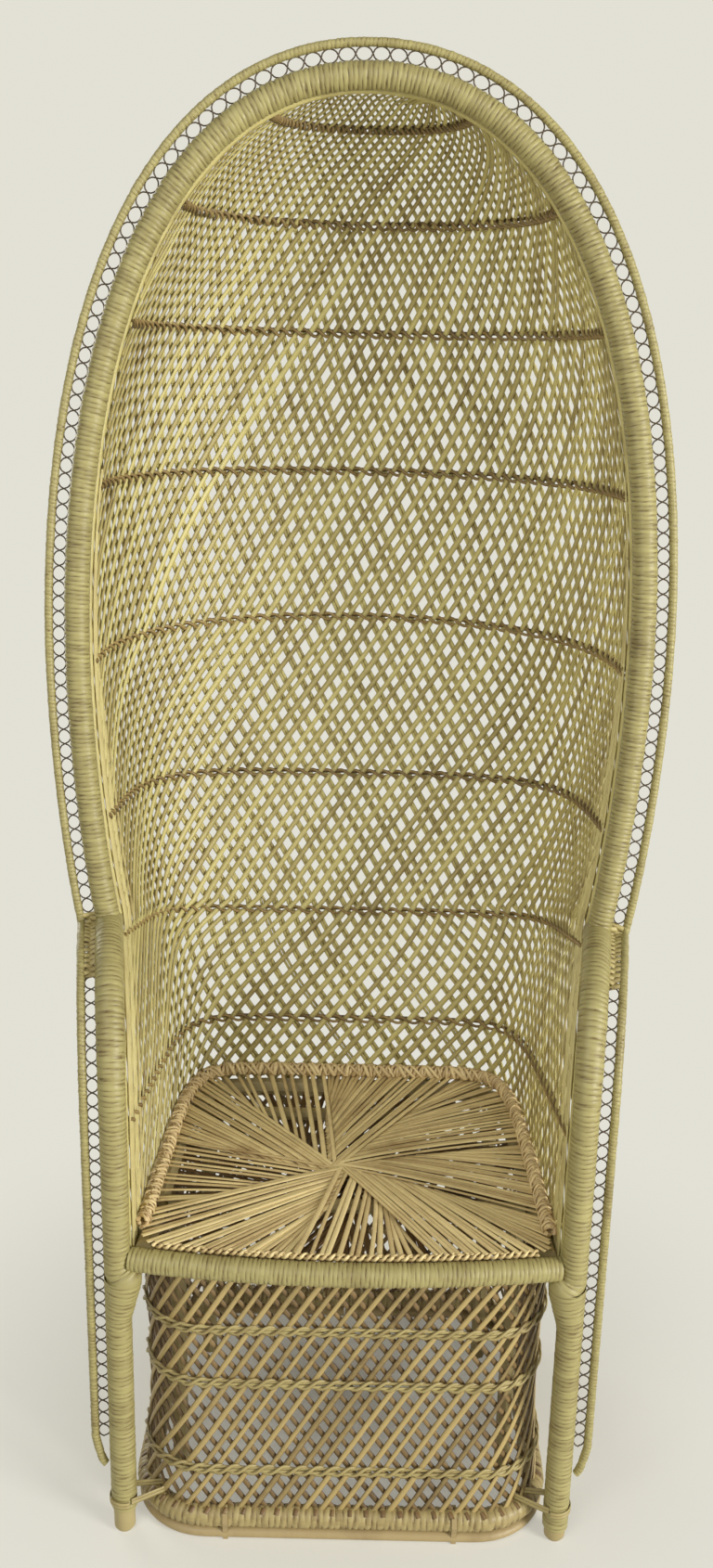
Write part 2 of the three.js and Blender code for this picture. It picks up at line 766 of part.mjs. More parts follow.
// Outline of the seat inside the lattice, from the left front corner round the back to the right front corner
function seatLine(inset, height) {
  const row = rowPoints(0).map((point) => new THREE.Vector3(point.x, point.y, height));
  const up = new THREE.Vector3(0, 0, 1);
  const inward = tangentsOf(row).map((tangent) => tangent.cross(up).normalize());
  return offsetStations(row, inward, row.map(() => inset));
}

// Front rail, bowed forward between the posts
const railEnd = postX - postRadius - clearance;
const railStations = [];
for (let i = 0; i <= railSteps; i += 1) {
  const share = (2 * i) / railSteps - 1;
  railStations.push(new THREE.Vector3(share * railEnd, -railBow * (1 - share * share), railHeight));
}
const railPole = cut(pole(railStations, railPoleDiameter), nailBore, mirrored(nailBore));
addPiece('seat_front_rail', railPole, barePole);
addPiece('seat_rail_binding', sleeve(railStations, railPoleDiameter, railBindingDiameter), boundCane);

const corbel = new THREE.CylinderGeometry(corbelDiameter / 2, corbelTip / 2, corbelLength, bindingSides);
corbel.rotateX(Math.PI / 2);
corbel.translate(
  postX - postRadius - clearance - corbelDiameter / 2,
  0,
  railHeight - railRadius - clearance - corbelLength / 2,
);
addPair('rail_corbel', corbel, barePole);

// Seat frame, bars, woven seat and braided border
const frameInset = latticeThickness / 2 + clearance + frameRadius;
const frameLine = seatLine(frameInset, frameHeight);
addPiece('seat_frame', pole(frameLine, frameDiameter), barePole);

const plateInset = Math.max(latticeThickness / 2, edgeX(postX) - railEnd) + clearance;
const plateLine = seatLine(plateInset, 0).map((point) => new THREE.Vector2(point.x, point.y));
const plateFront = railStations.map((point) => {
  const share = point.x / railEnd;
  return new THREE.Vector2(share * plateLine[backColumns].x, point.y);
});
const plate = new THREE.ExtrudeGeometry(new THREE.Shape([...plateFront, ...plateLine.slice().reverse()]), {
  depth: seatThickness,
  bevelEnabled: false,
});
plate.translate(0, 0, plateBottom);
addPiece('seat_weave', plate, flatCane);

const borderInset = latticeThickness / 2 + borderClearance + borderDiameter / 2;
const borderHeight = seatHeight + clearance + borderDiameter / 2;
addPiece('seat_border', pole(seatLine(borderInset, borderHeight), borderDiameter, bindingSides), flatCane);

// Base: a drum of lattice on a bound ring, both on one rounded-square loop
const baseFront = baseSetback - railBow;
const baseBack = seatDepth - frameInset + latticeThickness / 2;
const baseHalfWidth = postX - postRadius - clearance - latticeThickness / 2;
const baseHalfDepth = (baseBack - baseFront) / 2;
const baseMiddle = (baseBack + baseFront) / 2;

// Stations round the base, a rounded square, from the middle of the back, with each straight side in even panels.
// Poles and weavers start and end there and meet in a butt joint.
function baseLoop(inset, height, buttGap = 0, panels = 1) {
  const radius = baseCornerRadius - inset;
  const cornerX = baseHalfWidth - baseCornerRadius;
  const cornerY = baseHalfDepth - baseCornerRadius;
  const backY = baseMiddle + baseHalfDepth - inset;
  const stations = [new THREE.Vector3(-buttGap / 2, backY, height)];
  for (const [x, y, turn] of [[-1, 1, 1], [-1, -1, 2], [1, -1, 3], [1, 1, 4]]) {
    for (let i = 0; i <= cornerSteps; i += 1) {
      const angle = (turn + i / cornerSteps) * (Math.PI / 2);
      const across = x * cornerX + radius * Math.cos(angle);
      stations.push(new THREE.Vector3(across, baseMiddle + y * cornerY + radius * Math.sin(angle), height));
    }
  }
  stations.push(new THREE.Vector3(buttGap / 2, backY, height));
  const straights = stations.slice(0, -1).map((point, i) => i % (cornerSteps + 1) === 0);
  return stations.flatMap((point, i) => {
    const half = i === 0 || i === stations.length - 2;
    const steps = straights[i] ? Math.max(1, half ? panels / 2 : panels) : 1;
    return Array.from({ length: steps }, (_, k) => (k === 0 ? point : point.clone().lerp(stations[i + 1], k / steps)));
  });
}

// Level directions out of a closed loop of stations
function loopNormals(loop) {
  const up = new THREE.Vector3(0, 0, 1);
  return loop.map((point, i) => {
    const before = loop[(i + loop.length - 1) % loop.length];
    const after = loop[(i + 1) % loop.length];
    const into = point.clone().sub(before).normalize();
    const out = after.clone().sub(point).normalize();
    return into.add(out).cross(up).normalize();
  });
}

function baseInset(height) {
  return baseWaist * Math.sin((Math.PI * (height - baseFoot)) / (baseTop - baseFoot));
}

const baseHeights = [baseFoot, ...baseBandHeights, baseTop];
const baseRows = baseHeights.map((height) => baseLoop(baseInset(height), height, 0, basePanels).slice(0, -1));
const baseMesh = baseRows.map((row, r) => r);
const baseNormals = baseRows.map((row) => loopNormals(row));
baseRows.forEach((row) => row.reverse());
baseNormals.forEach((row) => row.reverse());
addPiece('base_lattice', openwork(baseRows, baseNormals, baseMesh, latticeThickness, true), roundReed);

const baseBandInset = latticeThickness / 2 + bandClearance + baseBandDiameter / 2;
baseBandHeights.forEach((height, i) => {
  const loop = baseLoop(baseInset(height) - baseBandInset, height, ringButtGap);
  addPiece(`base_band_${i + 1}`, pole(loop, baseBandDiameter, bandSides), roundReed);
});

const ringLoop = baseLoop(0, ringHeight, ringButtGap);
addPiece('base_ring_pole', pole(ringLoop, ringPoleDiameter), barePole);
addPiece('base_ring_binding', sleeve(ringLoop, ringPoleDiameter, ringBindingDiameter), boundCane);

// Runner on the floor under the ring, notched where the ties pass below it
function runnerOutline(side) {
  const outline = baseLoop((-side * runnerWidth) / 2, 0).slice(0, -1);
  return outline.map((point) => new THREE.Vector2(point.x, point.y));
}

const runnerShape = new THREE.Shape(runnerOutline(1));
runnerShape.holes.push(new THREE.Path(runnerOutline(-1)));
const runner = new THREE.ExtrudeGeometry(runnerShape, { depth: runnerHeight, bevelEnabled: false });

// A tie: a strip of cane from one flank of the ring down, under the runner and up the other flank
function tieOutline() {
  const flank = (radius, turn) => tieArc.map((degrees) => {
    const angle = THREE.MathUtils.degToRad(degrees);
    return new THREE.Vector2(turn * radius * Math.cos(angle), ringHeight + radius * Math.sin(angle));
  });
  const innerRadius = ringRadius + clearance;
  const outerRadius = innerRadius + tieThickness;
  const halfRunner = runnerWidth / 2 + clearance;
  const innerFoot = new THREE.Vector2(halfRunner, tieThickness);
  const outerFoot = new THREE.Vector2(halfRunner + tieThickness, 0);
  const over = (point) => new THREE.Vector2(-point.x, point.y);
  return [
    ...flank(innerRadius, 1), innerFoot, over(innerFoot), ...flank(innerRadius, -1).reverse(),
    ...flank(outerRadius, -1), over(outerFoot), outerFoot, ...flank(outerRadius, 1).reverse(),
  ];
}

const notches = [];
const tiePlaces = [
  [-tieSpacing / 2, -baseHalfDepth], [tieSpacing / 2, -baseHalfDepth], [baseHalfWidth, 0],
  [tieSpacing / 2, baseHalfDepth], [-tieSpacing / 2, baseHalfDepth], [-baseHalfWidth, 0],
];
tiePlaces.forEach(([x, y], i) => {
  const heading = y === 0 ? 0 : Math.PI / 2;
  const tie = new THREE.ExtrudeGeometry(new THREE.Shape(tieOutline()), { depth: tieWidth, bevelEnabled: false });
  tie.translate(0, 0, -tieWidth / 2);
  tie.rotateX(Math.PI / 2);
  tie.rotateZ(heading);
  tie.translate(x, baseMiddle + y, 0);
  addPiece(`runner_tie_${i + 1}`, tie, flatCane);
  const notchHeight = tieThickness + clearance;
  const notch = new THREE.BoxGeometry(2 * runnerWidth, tieWidth + 2 * clearance, 2 * notchHeight);
  notch.rotateZ(heading);
  notch.translate(x, baseMiddle + y, 0);
  notches.push(notch);
});
addPiece('base_runner', cut(runner, ...notches), barePole);

// Least distance from the chair's middle to a line on its right side, near the given depth
function sideAt(stations, depth, reach) {
  let side = Infinity;
  for (let k = 0; k + 1 < stations.length; k += 1) {
    const [a, b] = [stations[k], stations[k + 1]];
    for (const y of [depth - reach, depth, depth + reach]) {
      if (Math.min(a.x, b.x) > 0 && (a.y - y) * (b.y - y) <= 0) {
        side = Math.min(side, THREE.MathUtils.lerp(a.x, b.x, (y - a.y) / (b.y - a.y)));
      }
    }
  }
  return side;
}

// Uprights inside the base carry the two bars under the woven seat
const uprightRadius = uprightDiameter / 2;
const uprightTop = barHeight - barRadius - clearance;
for (const [place, depth] of [['front', barFrontDepth], ['rear', barRearDepth]]) {
  const barEnd = sideAt(frameLine, depth, barRadius) - frameRadius - 2 * clearance;
  const ringSide = sideAt(ringLoop, depth, uprightRadius) - ringRadius;
  const uprightX = Math.min(barEnd, ringSide - 2 * clearance) - uprightRadius;
  const ends = [-barEnd, barEnd].map((x) => new THREE.Vector3(x, depth, barHeight));
  addPiece(`seat_bar_${place}`, pole(ends, barDiameter, bindingSides), barePole);
  const upright = [0, uprightTop].map((height) => new THREE.Vector3(uprightX, depth, height));
  addPair(`${place}_upright`, pole(upright, uprightDiameter, bindingSides), barePole);
}

// The origin sits on the floor under the middle of the chair's box
const box = new THREE.Box3().setFromObject(chair);
const middle = box.getCenter(new THREE.Vector3());
chair.position.set(-middle.x, -middle.y, -box.min.z);

export default chair;
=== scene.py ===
import math
import bpy
import numpy as np
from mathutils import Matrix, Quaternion, Vector


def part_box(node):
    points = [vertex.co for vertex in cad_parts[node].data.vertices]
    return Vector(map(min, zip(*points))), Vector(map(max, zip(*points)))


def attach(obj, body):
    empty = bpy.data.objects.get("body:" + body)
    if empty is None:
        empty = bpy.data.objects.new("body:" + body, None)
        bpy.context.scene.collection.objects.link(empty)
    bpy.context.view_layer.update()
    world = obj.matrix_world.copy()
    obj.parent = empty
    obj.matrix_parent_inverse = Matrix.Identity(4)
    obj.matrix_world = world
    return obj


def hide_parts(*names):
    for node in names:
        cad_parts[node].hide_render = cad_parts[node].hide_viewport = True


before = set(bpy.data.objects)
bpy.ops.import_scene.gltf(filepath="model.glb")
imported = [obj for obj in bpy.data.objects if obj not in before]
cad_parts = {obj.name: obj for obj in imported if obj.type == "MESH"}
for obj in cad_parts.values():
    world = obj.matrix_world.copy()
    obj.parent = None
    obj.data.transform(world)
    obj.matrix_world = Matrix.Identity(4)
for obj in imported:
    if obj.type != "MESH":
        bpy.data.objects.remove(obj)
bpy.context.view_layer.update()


# Front posts and arms. Each is one rattan pole, bare at the foot, rolled back at the top into the arm,
# and wound from above the foot to the arm's rear end with a flat strip of cane, turn beside turn.
def mm(*numbers):
    return np.array(numbers, float) / 1000


class Bench:
    """A node tree under the hand: adds nodes, joins them and makes its named inputs and outputs."""

    def __init__(self, name, kind, inputs=(), outputs=()):
        self.tree = bpy.data.node_groups.new(name, kind)
        for label, socket, value in inputs:
            made = self.tree.interface.new_socket(label, in_out="INPUT", socket_type="NodeSocket" + socket)
            if value is not None:
                made.default_value = value
        for label, socket in outputs:
            self.tree.interface.new_socket(label, in_out="OUTPUT", socket_type="NodeSocket" + socket)
        self.given = self.tree.nodes.new("NodeGroupInput").outputs
        self.result = self.tree.nodes.new("NodeGroupOutput").inputs

    def put(self, socket, value):
        if isinstance(value, bpy.types.NodeSocket):
            self.tree.links.new(value, socket)
        elif value is not None:
            socket.default_value = value

    def add(self, kind, *values, **settings):
        node = self.tree.nodes.new(kind)
        for label, value in settings.items():
            setattr(node, label, value)
        for socket, value in zip([s for s in node.inputs if s.enabled], values):
            self.put(socket, value)
        return node

    def first(self, kind, *values, **settings):
        return [s for s in self.add(kind, *values, **settings).outputs if s.enabled][0]

    def sum(self, operation, *values):
        return self.first("ShaderNodeMath", *values, operation=operation)

    def vector(self, operation, *values):
        node = self.add("ShaderNodeVectorMath", operation=operation)
        sockets = [s for s in node.inputs if s.enabled]
        if operation == "SCALE":
            sockets = [node.inputs[0], node.inputs["Scale"]]
        for socket, value in zip(sockets, values):
            self.put(socket, value)
        return node.outputs["Vector"]

    def noise(self, place, scale, detail, roughness=0.5):
        node = self.add("ShaderNodeTexNoise", noise_dimensions="3D")
        inputs = {"Vector": place, "Scale": scale, "Detail": detail, "Roughness": roughness}
        for label, value in inputs.items():
            self.put(node.inputs[label], value)
        return node.outputs["Fac"]

    def draw(self, number):
        """A number from 0 to 1 that looks drawn by lot, the same for the same number."""
        node = self.add("ShaderNodeTexWhiteNoise", noise_dimensions="1D")
        self.put(node.inputs["W"], number)
        return node.outputs["Value"]

    def keep(self, geometry, label, value, socket="FLOAT", domain="POINT"):
        node = self.add("GeometryNodeCaptureAttribute", domain=domain)
        node.capture_items.new(socket, label)
        self.put(node.inputs["Geometry"], geometry)
        self.put(node.inputs[label], value)
        return node.outputs["Geometry"], node.outputs[label]

    def store(self, geometry, label, value):
        node = self.add("GeometryNodeStoreNamedAttribute", data_type="FLOAT", domain="POINT")
        for place, given in (("Geometry", geometry), ("Name", label), ("Value", value)):
            self.put(node.inputs[place], given)
        return node.outputs["Geometry"]

    def circle(self, sides, radius):
        """A circle, and how far round it each of its points lies from 0 to 1."""
        node = self.add("GeometryNodeCurvePrimitiveCircle", mode="RADIUS")
        self.put(node.inputs["Resolution"], sides)
        self.put(node.inputs["Radius"], radius)
        return self.keep(node.outputs[0], "round", self.add("GeometryNodeSplineParameter").outputs["Factor"])

    def hand_out(self, geometry, finish):
        """The tree's result: the geometry shaded smooth, made real and given its finish."""
        geometry = self.add("GeometryNodeSetShadeSmooth", geometry).outputs[0]
        geometry = self.add("GeometryNodeRealizeInstances", geometry).outputs[0]
        self.put(self.result[0], self.add("GeometryNodeSetMaterial", geometry, None, finish).outputs[0])


def made_by(tree, name, carrier, **values):
    """The plain mesh that a tree makes from a carrier mesh, as a piece of the chair."""
    maker = bpy.data.objects.new(name + "_maker", carrier)
    bpy.context.scene.collection.objects.link(maker)
    work = maker.modifiers.new("work", "NODES")
    work.node_group = tree
    for item in tree.interface.items_tree:
        label = item.name.replace(" ", "_").lower()
        if item.item_type == "SOCKET" and item.in_out == "INPUT" and label in values:
            work[item.identifier] = values[label]
    graph = bpy.context.evaluated_depsgraph_get()
    mesh = bpy.data.meshes.new_from_object(maker.evaluated_get(graph), preserve_all_data_layers=True,
                                           depsgraph=graph)
    mesh.name = name
    bpy.data.objects.remove(maker)
    piece = bpy.data.objects.new(name, mesh)
    bpy.context.scene.collection.objects.link(piece)
    return piece


def line_mesh(lines, swell=None):
    """A mesh of open lines for a tree to follow; swell adds to the radius at each of their points."""
    corners, edges = [], []
    for line in lines:
        start = len(corners)
        corners.extend(line)
        edges.extend((start + k, start + k + 1) for k in range(len(line) - 1))
    mesh = bpy.data.meshes.new("lines")
    mesh.from_pydata([tuple(c) for c in corners], edges, [])
    if swell is not None:
        swelling = mesh.attributes.new("swell", "FLOAT", "POINT")
        swelling.data.foreach_set("value", np.asarray(swell, np.float32))
    return mesh


def fitted(piece, slot, *nodes):
    """Hangs a finished piece on the chair, in place of its plain solids where it has any."""
    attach(piece, "root")
    if nodes:
        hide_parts(*nodes)


# The age of old cane, for every cane finish: long streaks, brown stains in patches, and darkening in the
# hollows that is partly dirt and partly painted shade, in the seams between wound turns and along the edges
# of laid strands
age = Bench("aged cane", "ShaderNodeTree",
            [("Clean", "Color", (0.6, 0.5, 0.25, 1)), ("Stained", "Color", (0.3, 0.16, 0.05, 1)),
             ("Strand", "Float", 0.5), ("Along", "Float", 0.0), ("Hollow", "Float", 0.0),
             ("Variation", "Float", 0.5)],
            [("Color", "Color"), ("Roughness", "Float"), ("Height", "Float")])
clean, stained, strand, along, hollow, variation = age.given[:6]
where = age.add("ShaderNodeTexCoord").outputs["Object"]
streak_place = age.add("ShaderNodeCombineXYZ", age.sum("MULTIPLY", along, 60.0),
                       age.sum("MULTIPLY", strand, 900.0), 0.0).outputs[0]
patches = age.noise(where, scale=14.0, detail=5.0, roughness=0.62)
streaks = age.noise(streak_place, scale=1.0, detail=3.0)
fibres = age.noise(where, scale=900.0, detail=2.0)
tone = age.draw(age.sum("MULTIPLY", strand, 511.0))
shade = age.sum("MULTIPLY_ADD", age.sum("SUBTRACT", tone, 0.5), variation,
                age.sum("MULTIPLY_ADD", streaks, 0.5, 0.25))
patch = age.add("ShaderNodeMapRange", patches, 0.52, 0.72, 0.0, 0.75).outputs[0]
dark = age.sum("ADD", age.sum("MULTIPLY", age.sum("SUBTRACT", shade, 0.32), 0.75),
               age.sum("MULTIPLY", patch, 0.45))
# darkening in the hollows: dirt, and painted shade where seams and strand edges would lie in shadow
dark = age.sum("ADD", dark, age.sum("MULTIPLY", hollow, 0.85))
mixed = age.add("ShaderNodeMix", data_type="RGBA")
for label, value in (("Factor", age.first("ShaderNodeClamp", dark, 0.0, 1.0)), ("A", clean), ("B", stained)):
    age.put(mixed.inputs[label], value)
age.put(age.result["Color"], mixed.outputs["Result"])
age.put(age.result["Roughness"], age.sum("MULTIPLY_ADD", fibres, 0.2, 0.36))
age.put(age.result["Height"], age.sum("ADD", fibres, age.sum("MULTIPLY", streaks, 0.6)))


def cane_finish(name, clean, stained, strand="strand", variation=0.5, hollow=None):
    """A cane finish with its own colours; strand names the attribute that tells one strand from the next."""
    finish = bpy.data.materials.new(name)
    finish.use_nodes = True
    nodes, links = finish.node_tree.nodes, finish.node_tree.links
    surface = nodes["Principled BSDF"]
    surface.inputs["Specular IOR Level"].default_value = 0.45
    aged = nodes.new("ShaderNodeGroup")
    aged.node_tree = age.tree
    aged.inputs["Clean"].default_value = (*clean, 1)
    aged.inputs["Stained"].default_value = (*stained, 1)
    aged.inputs["Variation"].default_value = variation
    for label, attribute in (("Strand", strand), ("Along", "along"), ("Hollow", hollow)):
        if attribute:
            reader = nodes.new("ShaderNodeAttribute")
            reader.attribute_name = attribute
            links.new(reader.outputs["Fac"], aged.inputs[label])
    relief = nodes.new("ShaderNodeBump")
    relief.inputs["Strength"].default_value = 0.25
    relief.inputs["Distance"].default_value = 0.0006
    links.new(aged.outputs["Height"], relief.inputs["Height"])
    links.new(relief.outputs["Normal"], surface.inputs["Normal"])
    links.new(aged.outputs["Color"], surface.inputs["Base Color"])
    links.new(aged.outputs["Roughness"], surface.inputs["Roughness"])
    return finish


def wound_finish(name, clean, stained, variation):
    """A finish for wound cane, where each turn has its own tone and the seams between turns are darkened with
    dirt and painted shade.
    """
    return cane_finish(name, clean, stained, "turn", variation, "seam")


def strand_finish(name, clean, stained, variation):
    """A finish for laid strands, where each has its own tone and its two edges are darkened with dirt and
    painted shade.
    """
    return cane_finish(name, clean, stained, "strand", variation, "edge")


bound_cane = wound_finish("bound cane", (0.405, 0.355, 0.14), (0.12, 0.072, 0.02), 0.32)
bare_pole = cane_finish("bare pole", (0.46, 0.375, 0.17), (0.2, 0.13, 0.045), variation=0.3)

# Winding a strip round a pole: a tube on the pole's line whose skin rises and sinks with each turn
wind = Bench("winding", "GeometryNodeTree",
             [("Line", "Geometry", None), ("Radius", "Float", 0.0145), ("Turn Width", "Float", 0.0052),
              ("Seam Depth", "Float", 0.0009), ("Sides", "Int", 16), ("Finish", "Material", None)],
             [("Piece", "Geometry")])
line, radius, turn_width, seam_depth, sides, finish = wind.given[:6]
steps_per_turn, wobble_rate, wobble_turns, turn_rise = 5.0, 55.0, 0.8, 0.0005
stepper = wind.add("GeometryNodeResampleCurve", mode="LENGTH")
wind.put(stepper.inputs["Curve"], wind.add("GeometryNodeMeshToCurve", line).outputs[0])
wind.put(stepper.inputs["Length"], wind.sum("DIVIDE", turn_width, steps_per_turn))
path, travelled = wind.keep(stepper.outputs[0], "travelled",
                            wind.add("GeometryNodeSplineParameter").outputs["Length"])
ring, round_pole = wind.circle(sides, radius)
swell = wind.add("GeometryNodeInputNamedAttribute", "swell", data_type="FLOAT").outputs["Attribute"]
thicker = wind.sum("ADD", wind.sum("DIVIDE", swell, radius), 1.0)
skin = wind.add("GeometryNodeCurveToMesh", path, ring, thicker, True)
wobble = wind.add("ShaderNodeTexNoise", noise_dimensions="1D")
wind.put(wobble.inputs["W"], wind.sum("MULTIPLY", travelled, wobble_rate))
turns = wind.sum("ADD", wind.sum("DIVIDE", travelled, turn_width), round_pole)
turns = wind.sum("MULTIPLY_ADD", wobble.outputs["Fac"], wobble_turns, turns)
turn = wind.sum("FLOOR", turns)
across = wind.sum("ABSOLUTE", wind.sum("MULTIPLY_ADD", wind.sum("FRACT", turns), 2.0, -1.0))
sunk = wind.sum("MULTIPLY", wind.sum("POWER", across, 4.0), seam_depth)
rise = wind.sum("SUBTRACT", wind.sum("MULTIPLY", wind.draw(turn), turn_rise), sunk)
move = wind.add("GeometryNodeSetPosition", skin.outputs[0])
outwards = wind.add("GeometryNodeInputNormal").outputs["Normal"]
wind.put(move.inputs["Offset"], wind.vector("SCALE", outwards, rise))
kept = wind.store(move.outputs[0], "turn", wind.sum("MULTIPLY", turn, 0.0137))
kept = wind.store(kept, "seam", wind.sum("POWER", across, 7.0))
kept = wind.store(kept, "along", wind.sum("ADD", travelled, wind.sum("MULTIPLY", round_pole, 0.02)))
wind.hand_out(kept, finish)


def wound(name, lines, slot, *nodes, swell=None, **values):
    """Cane wound round poles that follow the lines, hung on the chair in place of the solids named."""
    fitted(made_by(wind.tree, name, line_mesh(lines, swell), **values), slot, *nodes)


front = sum(corner.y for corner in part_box("right_rail_nail")) / 2
post_x, arm_start, arm_height, arm_reach, arm_flare = mm(266, 575, 736, 165, 28)
post_radius, bound_radius, hoop_radius, corbel_bulge, arm_bulge = mm(13, 15.5, 14.5, 6.8, 1.2)
bound_foot, bound_top, corbel_foot, corbel_rise, corbel_top, corbel_fall = mm(38, 570, 306, 52, 374, 10)
post_steps, swollen_by = 60, 0.7
roll = np.linspace(0, math.pi / 2, 24)
arm_line = np.stack([post_x + arm_flare * (1 - np.cos(roll)), front + arm_reach * (1 - np.cos(roll)),
                     arm_start + (arm_height - arm_start) * np.sin(roll)], 1)
arm_way = np.array([arm_flare, arm_reach, 0]) / math.hypot(arm_flare, arm_reach)
arm_tip = arm_line[-1] + arm_way * hoop_radius
post_line = np.vstack([[(post_x, front, h) for h in np.linspace(bound_foot, bound_top, post_steps)],
                       arm_line, [arm_tip]])
under_rail = np.clip((post_line[:, 2] - corbel_foot) / corbel_rise, 0, 1)
under_rail = under_rail * np.clip((corbel_top - post_line[:, 2]) / corbel_fall, 0, 1)
over_arm = np.r_[np.zeros(post_steps), np.clip(roll / swollen_by, 0, 1), 1]
foot_heights, foot_rounding = mm(0.2, 1.2, 3, 6, 20), mm(-3.2, -1.6, -0.6, 0, 0)
for side, name, foot_bare in ((1, "right", 0.018), (-1, "left", 0.034)):
    bound = (post_line - np.outer(under_rail, (corbel_bulge, 0, 0))) * (side, 1, 1)
    bound[0, 2] = foot_bare
    wound(name + "_post_winding", [bound], "bound_cane", name + "_post_binding", name + "_rail_corbel",
          swell=corbel_bulge * under_rail + arm_bulge * over_arm, radius=bound_radius, turn_width=0.0058,
          seam_depth=0.0013, sides=20, finish=bound_cane)
    stick = np.vstack([[(post_x, front, h) for h in foot_heights], post_line]) * (side, 1, 1)
    wound(name + "_post_pole", [stick], "bare_pole", name + "_front_post",
          swell=np.r_[foot_rounding, np.zeros(len(post_line))], radius=post_radius, turn_width=0.02,
          seam_depth=0.0, sides=18, finish=bare_pole)

# Hoop. One pole bent into an arch, standing on the rear ends of the arms and leaning back a little,
# wound in cane from arm to arm, over the cuffs of its joints.
hoop_x, hoop_widest, crown, crown_spread = mm(326, 1075, 1683, 215)
foot_aside, foot_up, side_down, side_up = mm(20, 100, 100, 360)
hoop_lean, hoop_points, bare_end = 0.08, 400, 0.008


def hoop_point(x, z):
    return np.array([x, front + arm_reach + (z - arm_height) * hoop_lean, z])


arm_end_x = post_x + arm_flare
hoop_bends = [hoop_point(*place) for place in (
    (arm_end_x, arm_height), (arm_end_x + foot_aside, arm_height + foot_up),
    (hoop_x, hoop_widest - side_down), (hoop_x, hoop_widest), (hoop_x, hoop_widest + side_up),
    (crown_spread, crown), (0, crown))]


def bezier(ends, t):
    a, b, c, d = ends
    t = np.asarray(t)[:, None]
    return a * (1 - t) ** 3 + 3 * b * t * (1 - t) ** 2 + 3 * c * t * t * (1 - t) + d * t ** 3


def steps_along(line):
    return np.r_[0, np.cumsum(np.linalg.norm(np.diff(line, axis=0), axis=1))]


def evenly(points, count):
    """The same line with its points an even distance apart."""
    points = np.asarray(points)
    steps = steps_along(points)
    places = np.linspace(0, steps[-1], count)
    return np.stack([np.interp(places, steps, points[:, k]) for k in range(3)], 1)


def unit(vectors):
    return vectors / np.linalg.norm(vectors, axis=-1, keepdims=True)


def dressed(finish, *names):
    """Gives solids that show as they are a better finish."""
    for name in names:
        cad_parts[name].data.materials[0] = finish


hoop_half = np.vstack([bezier(hoop_bends[:4], np.linspace(0, 1, 60)),
                       bezier(hoop_bends[3:], np.linspace(0, 1, 120))[1:]])
hoop_line = evenly(np.vstack([hoop_half * (-1, 1, 1), hoop_half[::-1][1:]]), hoop_points)
hoop_length = steps_along(hoop_line)[-1]
bound_from = round(hoop_points * bare_end / hoop_length)
bound_hoop = slice(bound_from, -bound_from)
hoop_cane = wound_finish("hoop cane", (0.385, 0.335, 0.13), (0.095, 0.058, 0.017), 0.42)
wound("hoop_winding", [hoop_line[bound_hoop]], "bound_cane", "hoop_binding", "right_arm_cuff",
      "left_arm_cuff", radius=hoop_radius, seam_depth=0.0016, sides=16, finish=hoop_cane)
dressed(bare_pole, "hoop_pole")


# Rims and ring lace. A thin rod bound in cane runs round outside the hoop and down outside each arm and post,
# hooked in at the post's foot. Two fine dark strands cross to and fro between rod and frame and leave a row
# of round openings. A dense weave fills the gap at the top of the arms and at both feet of the hoop.
def woven_surface(name, rows, up_shares, outward):
    """A guide sheet for strands: rows of points across it, and how far up each row lies from 0 to 1."""
    rows = np.asarray(rows)
    count, width = rows.shape[:2]
    rising = np.gradient(rows, axis=0)
    facing = np.cross(np.gradient(rows, axis=1), rising) * outward
    facing /= np.maximum(np.linalg.norm(facing, axis=2, keepdims=True), 1e-9)
    rising /= np.maximum(np.linalg.norm(rising, axis=2, keepdims=True), 1e-9)
    faces = [(r * width + c, r * width + c + 1, (r + 1) * width + c + 1, (r + 1) * width + c)
             for r in range(count - 1) for c in range(width - 1)]
    mesh = bpy.data.meshes.new(name)
    mesh.from_pydata([tuple(p) for p in rows.reshape(-1, 3)], [], faces)
    place = np.stack(np.meshgrid(np.linspace(0, 1, width), up_shares), 2).reshape(-1, 2)
    corner = np.zeros(len(mesh.loops), np.int32)
    mesh.loops.foreach_get("vertex_index", corner)
    mesh.uv_layers.new(name="UVMap").data.foreach_set("uv", place[corner].ravel())
    for label, values in (("facing", facing), ("rising", rising)):
        mesh.attributes.new(label, "FLOAT_VECTOR", "POINT").data.foreach_set("vector", values.ravel())
    guide = bpy.data.objects.new(name, mesh)
    bpy.context.scene.collection.objects.link(guide)
    return guide


# Laying strands: lines drawn on the guide sheet are lifted on to it, twisted round each other where a third
# coordinate gives turns, and swept with an oval section, narrower towards the top where they taper
lay = Bench("strands on a guide", "GeometryNodeTree",
            [("Lines", "Geometry", None), ("Guide", "Object", None), ("Width", "Float", 0.005),
             ("Thickness", "Float", 0.005), ("Depth", "Float", 0.0), ("Twist Height", "Float", 0.0),
             ("Twist Depth", "Float", 0.0), ("Uneven", "Float", 0.15), ("Taper", "Float", 0.0),
             ("Sides", "Int", 6), ("Seed", "Int", 1), ("Finish", "Material", None)], [("Piece", "Geometry")])
lines, guide, width, thickness, depth, twist_height, twist_depth = lay.given[:7]
uneven, taper, sides, seed, finish = lay.given[7:12]
strands = lay.add("GeometryNodeMeshToCurve", lines).outputs[0]
sheet = lay.add("GeometryNodeObjectInfo", guide).outputs["Geometry"]
drawn = lay.add("ShaderNodeSeparateXYZ", lay.add("GeometryNodeInputPosition").outputs[0]).outputs
drawn_at = lay.add("ShaderNodeCombineXYZ", drawn[0], drawn[1], 0.0).outputs[0]


def named(label):
    return lay.first("GeometryNodeInputNamedAttribute", label, data_type="FLOAT_VECTOR")


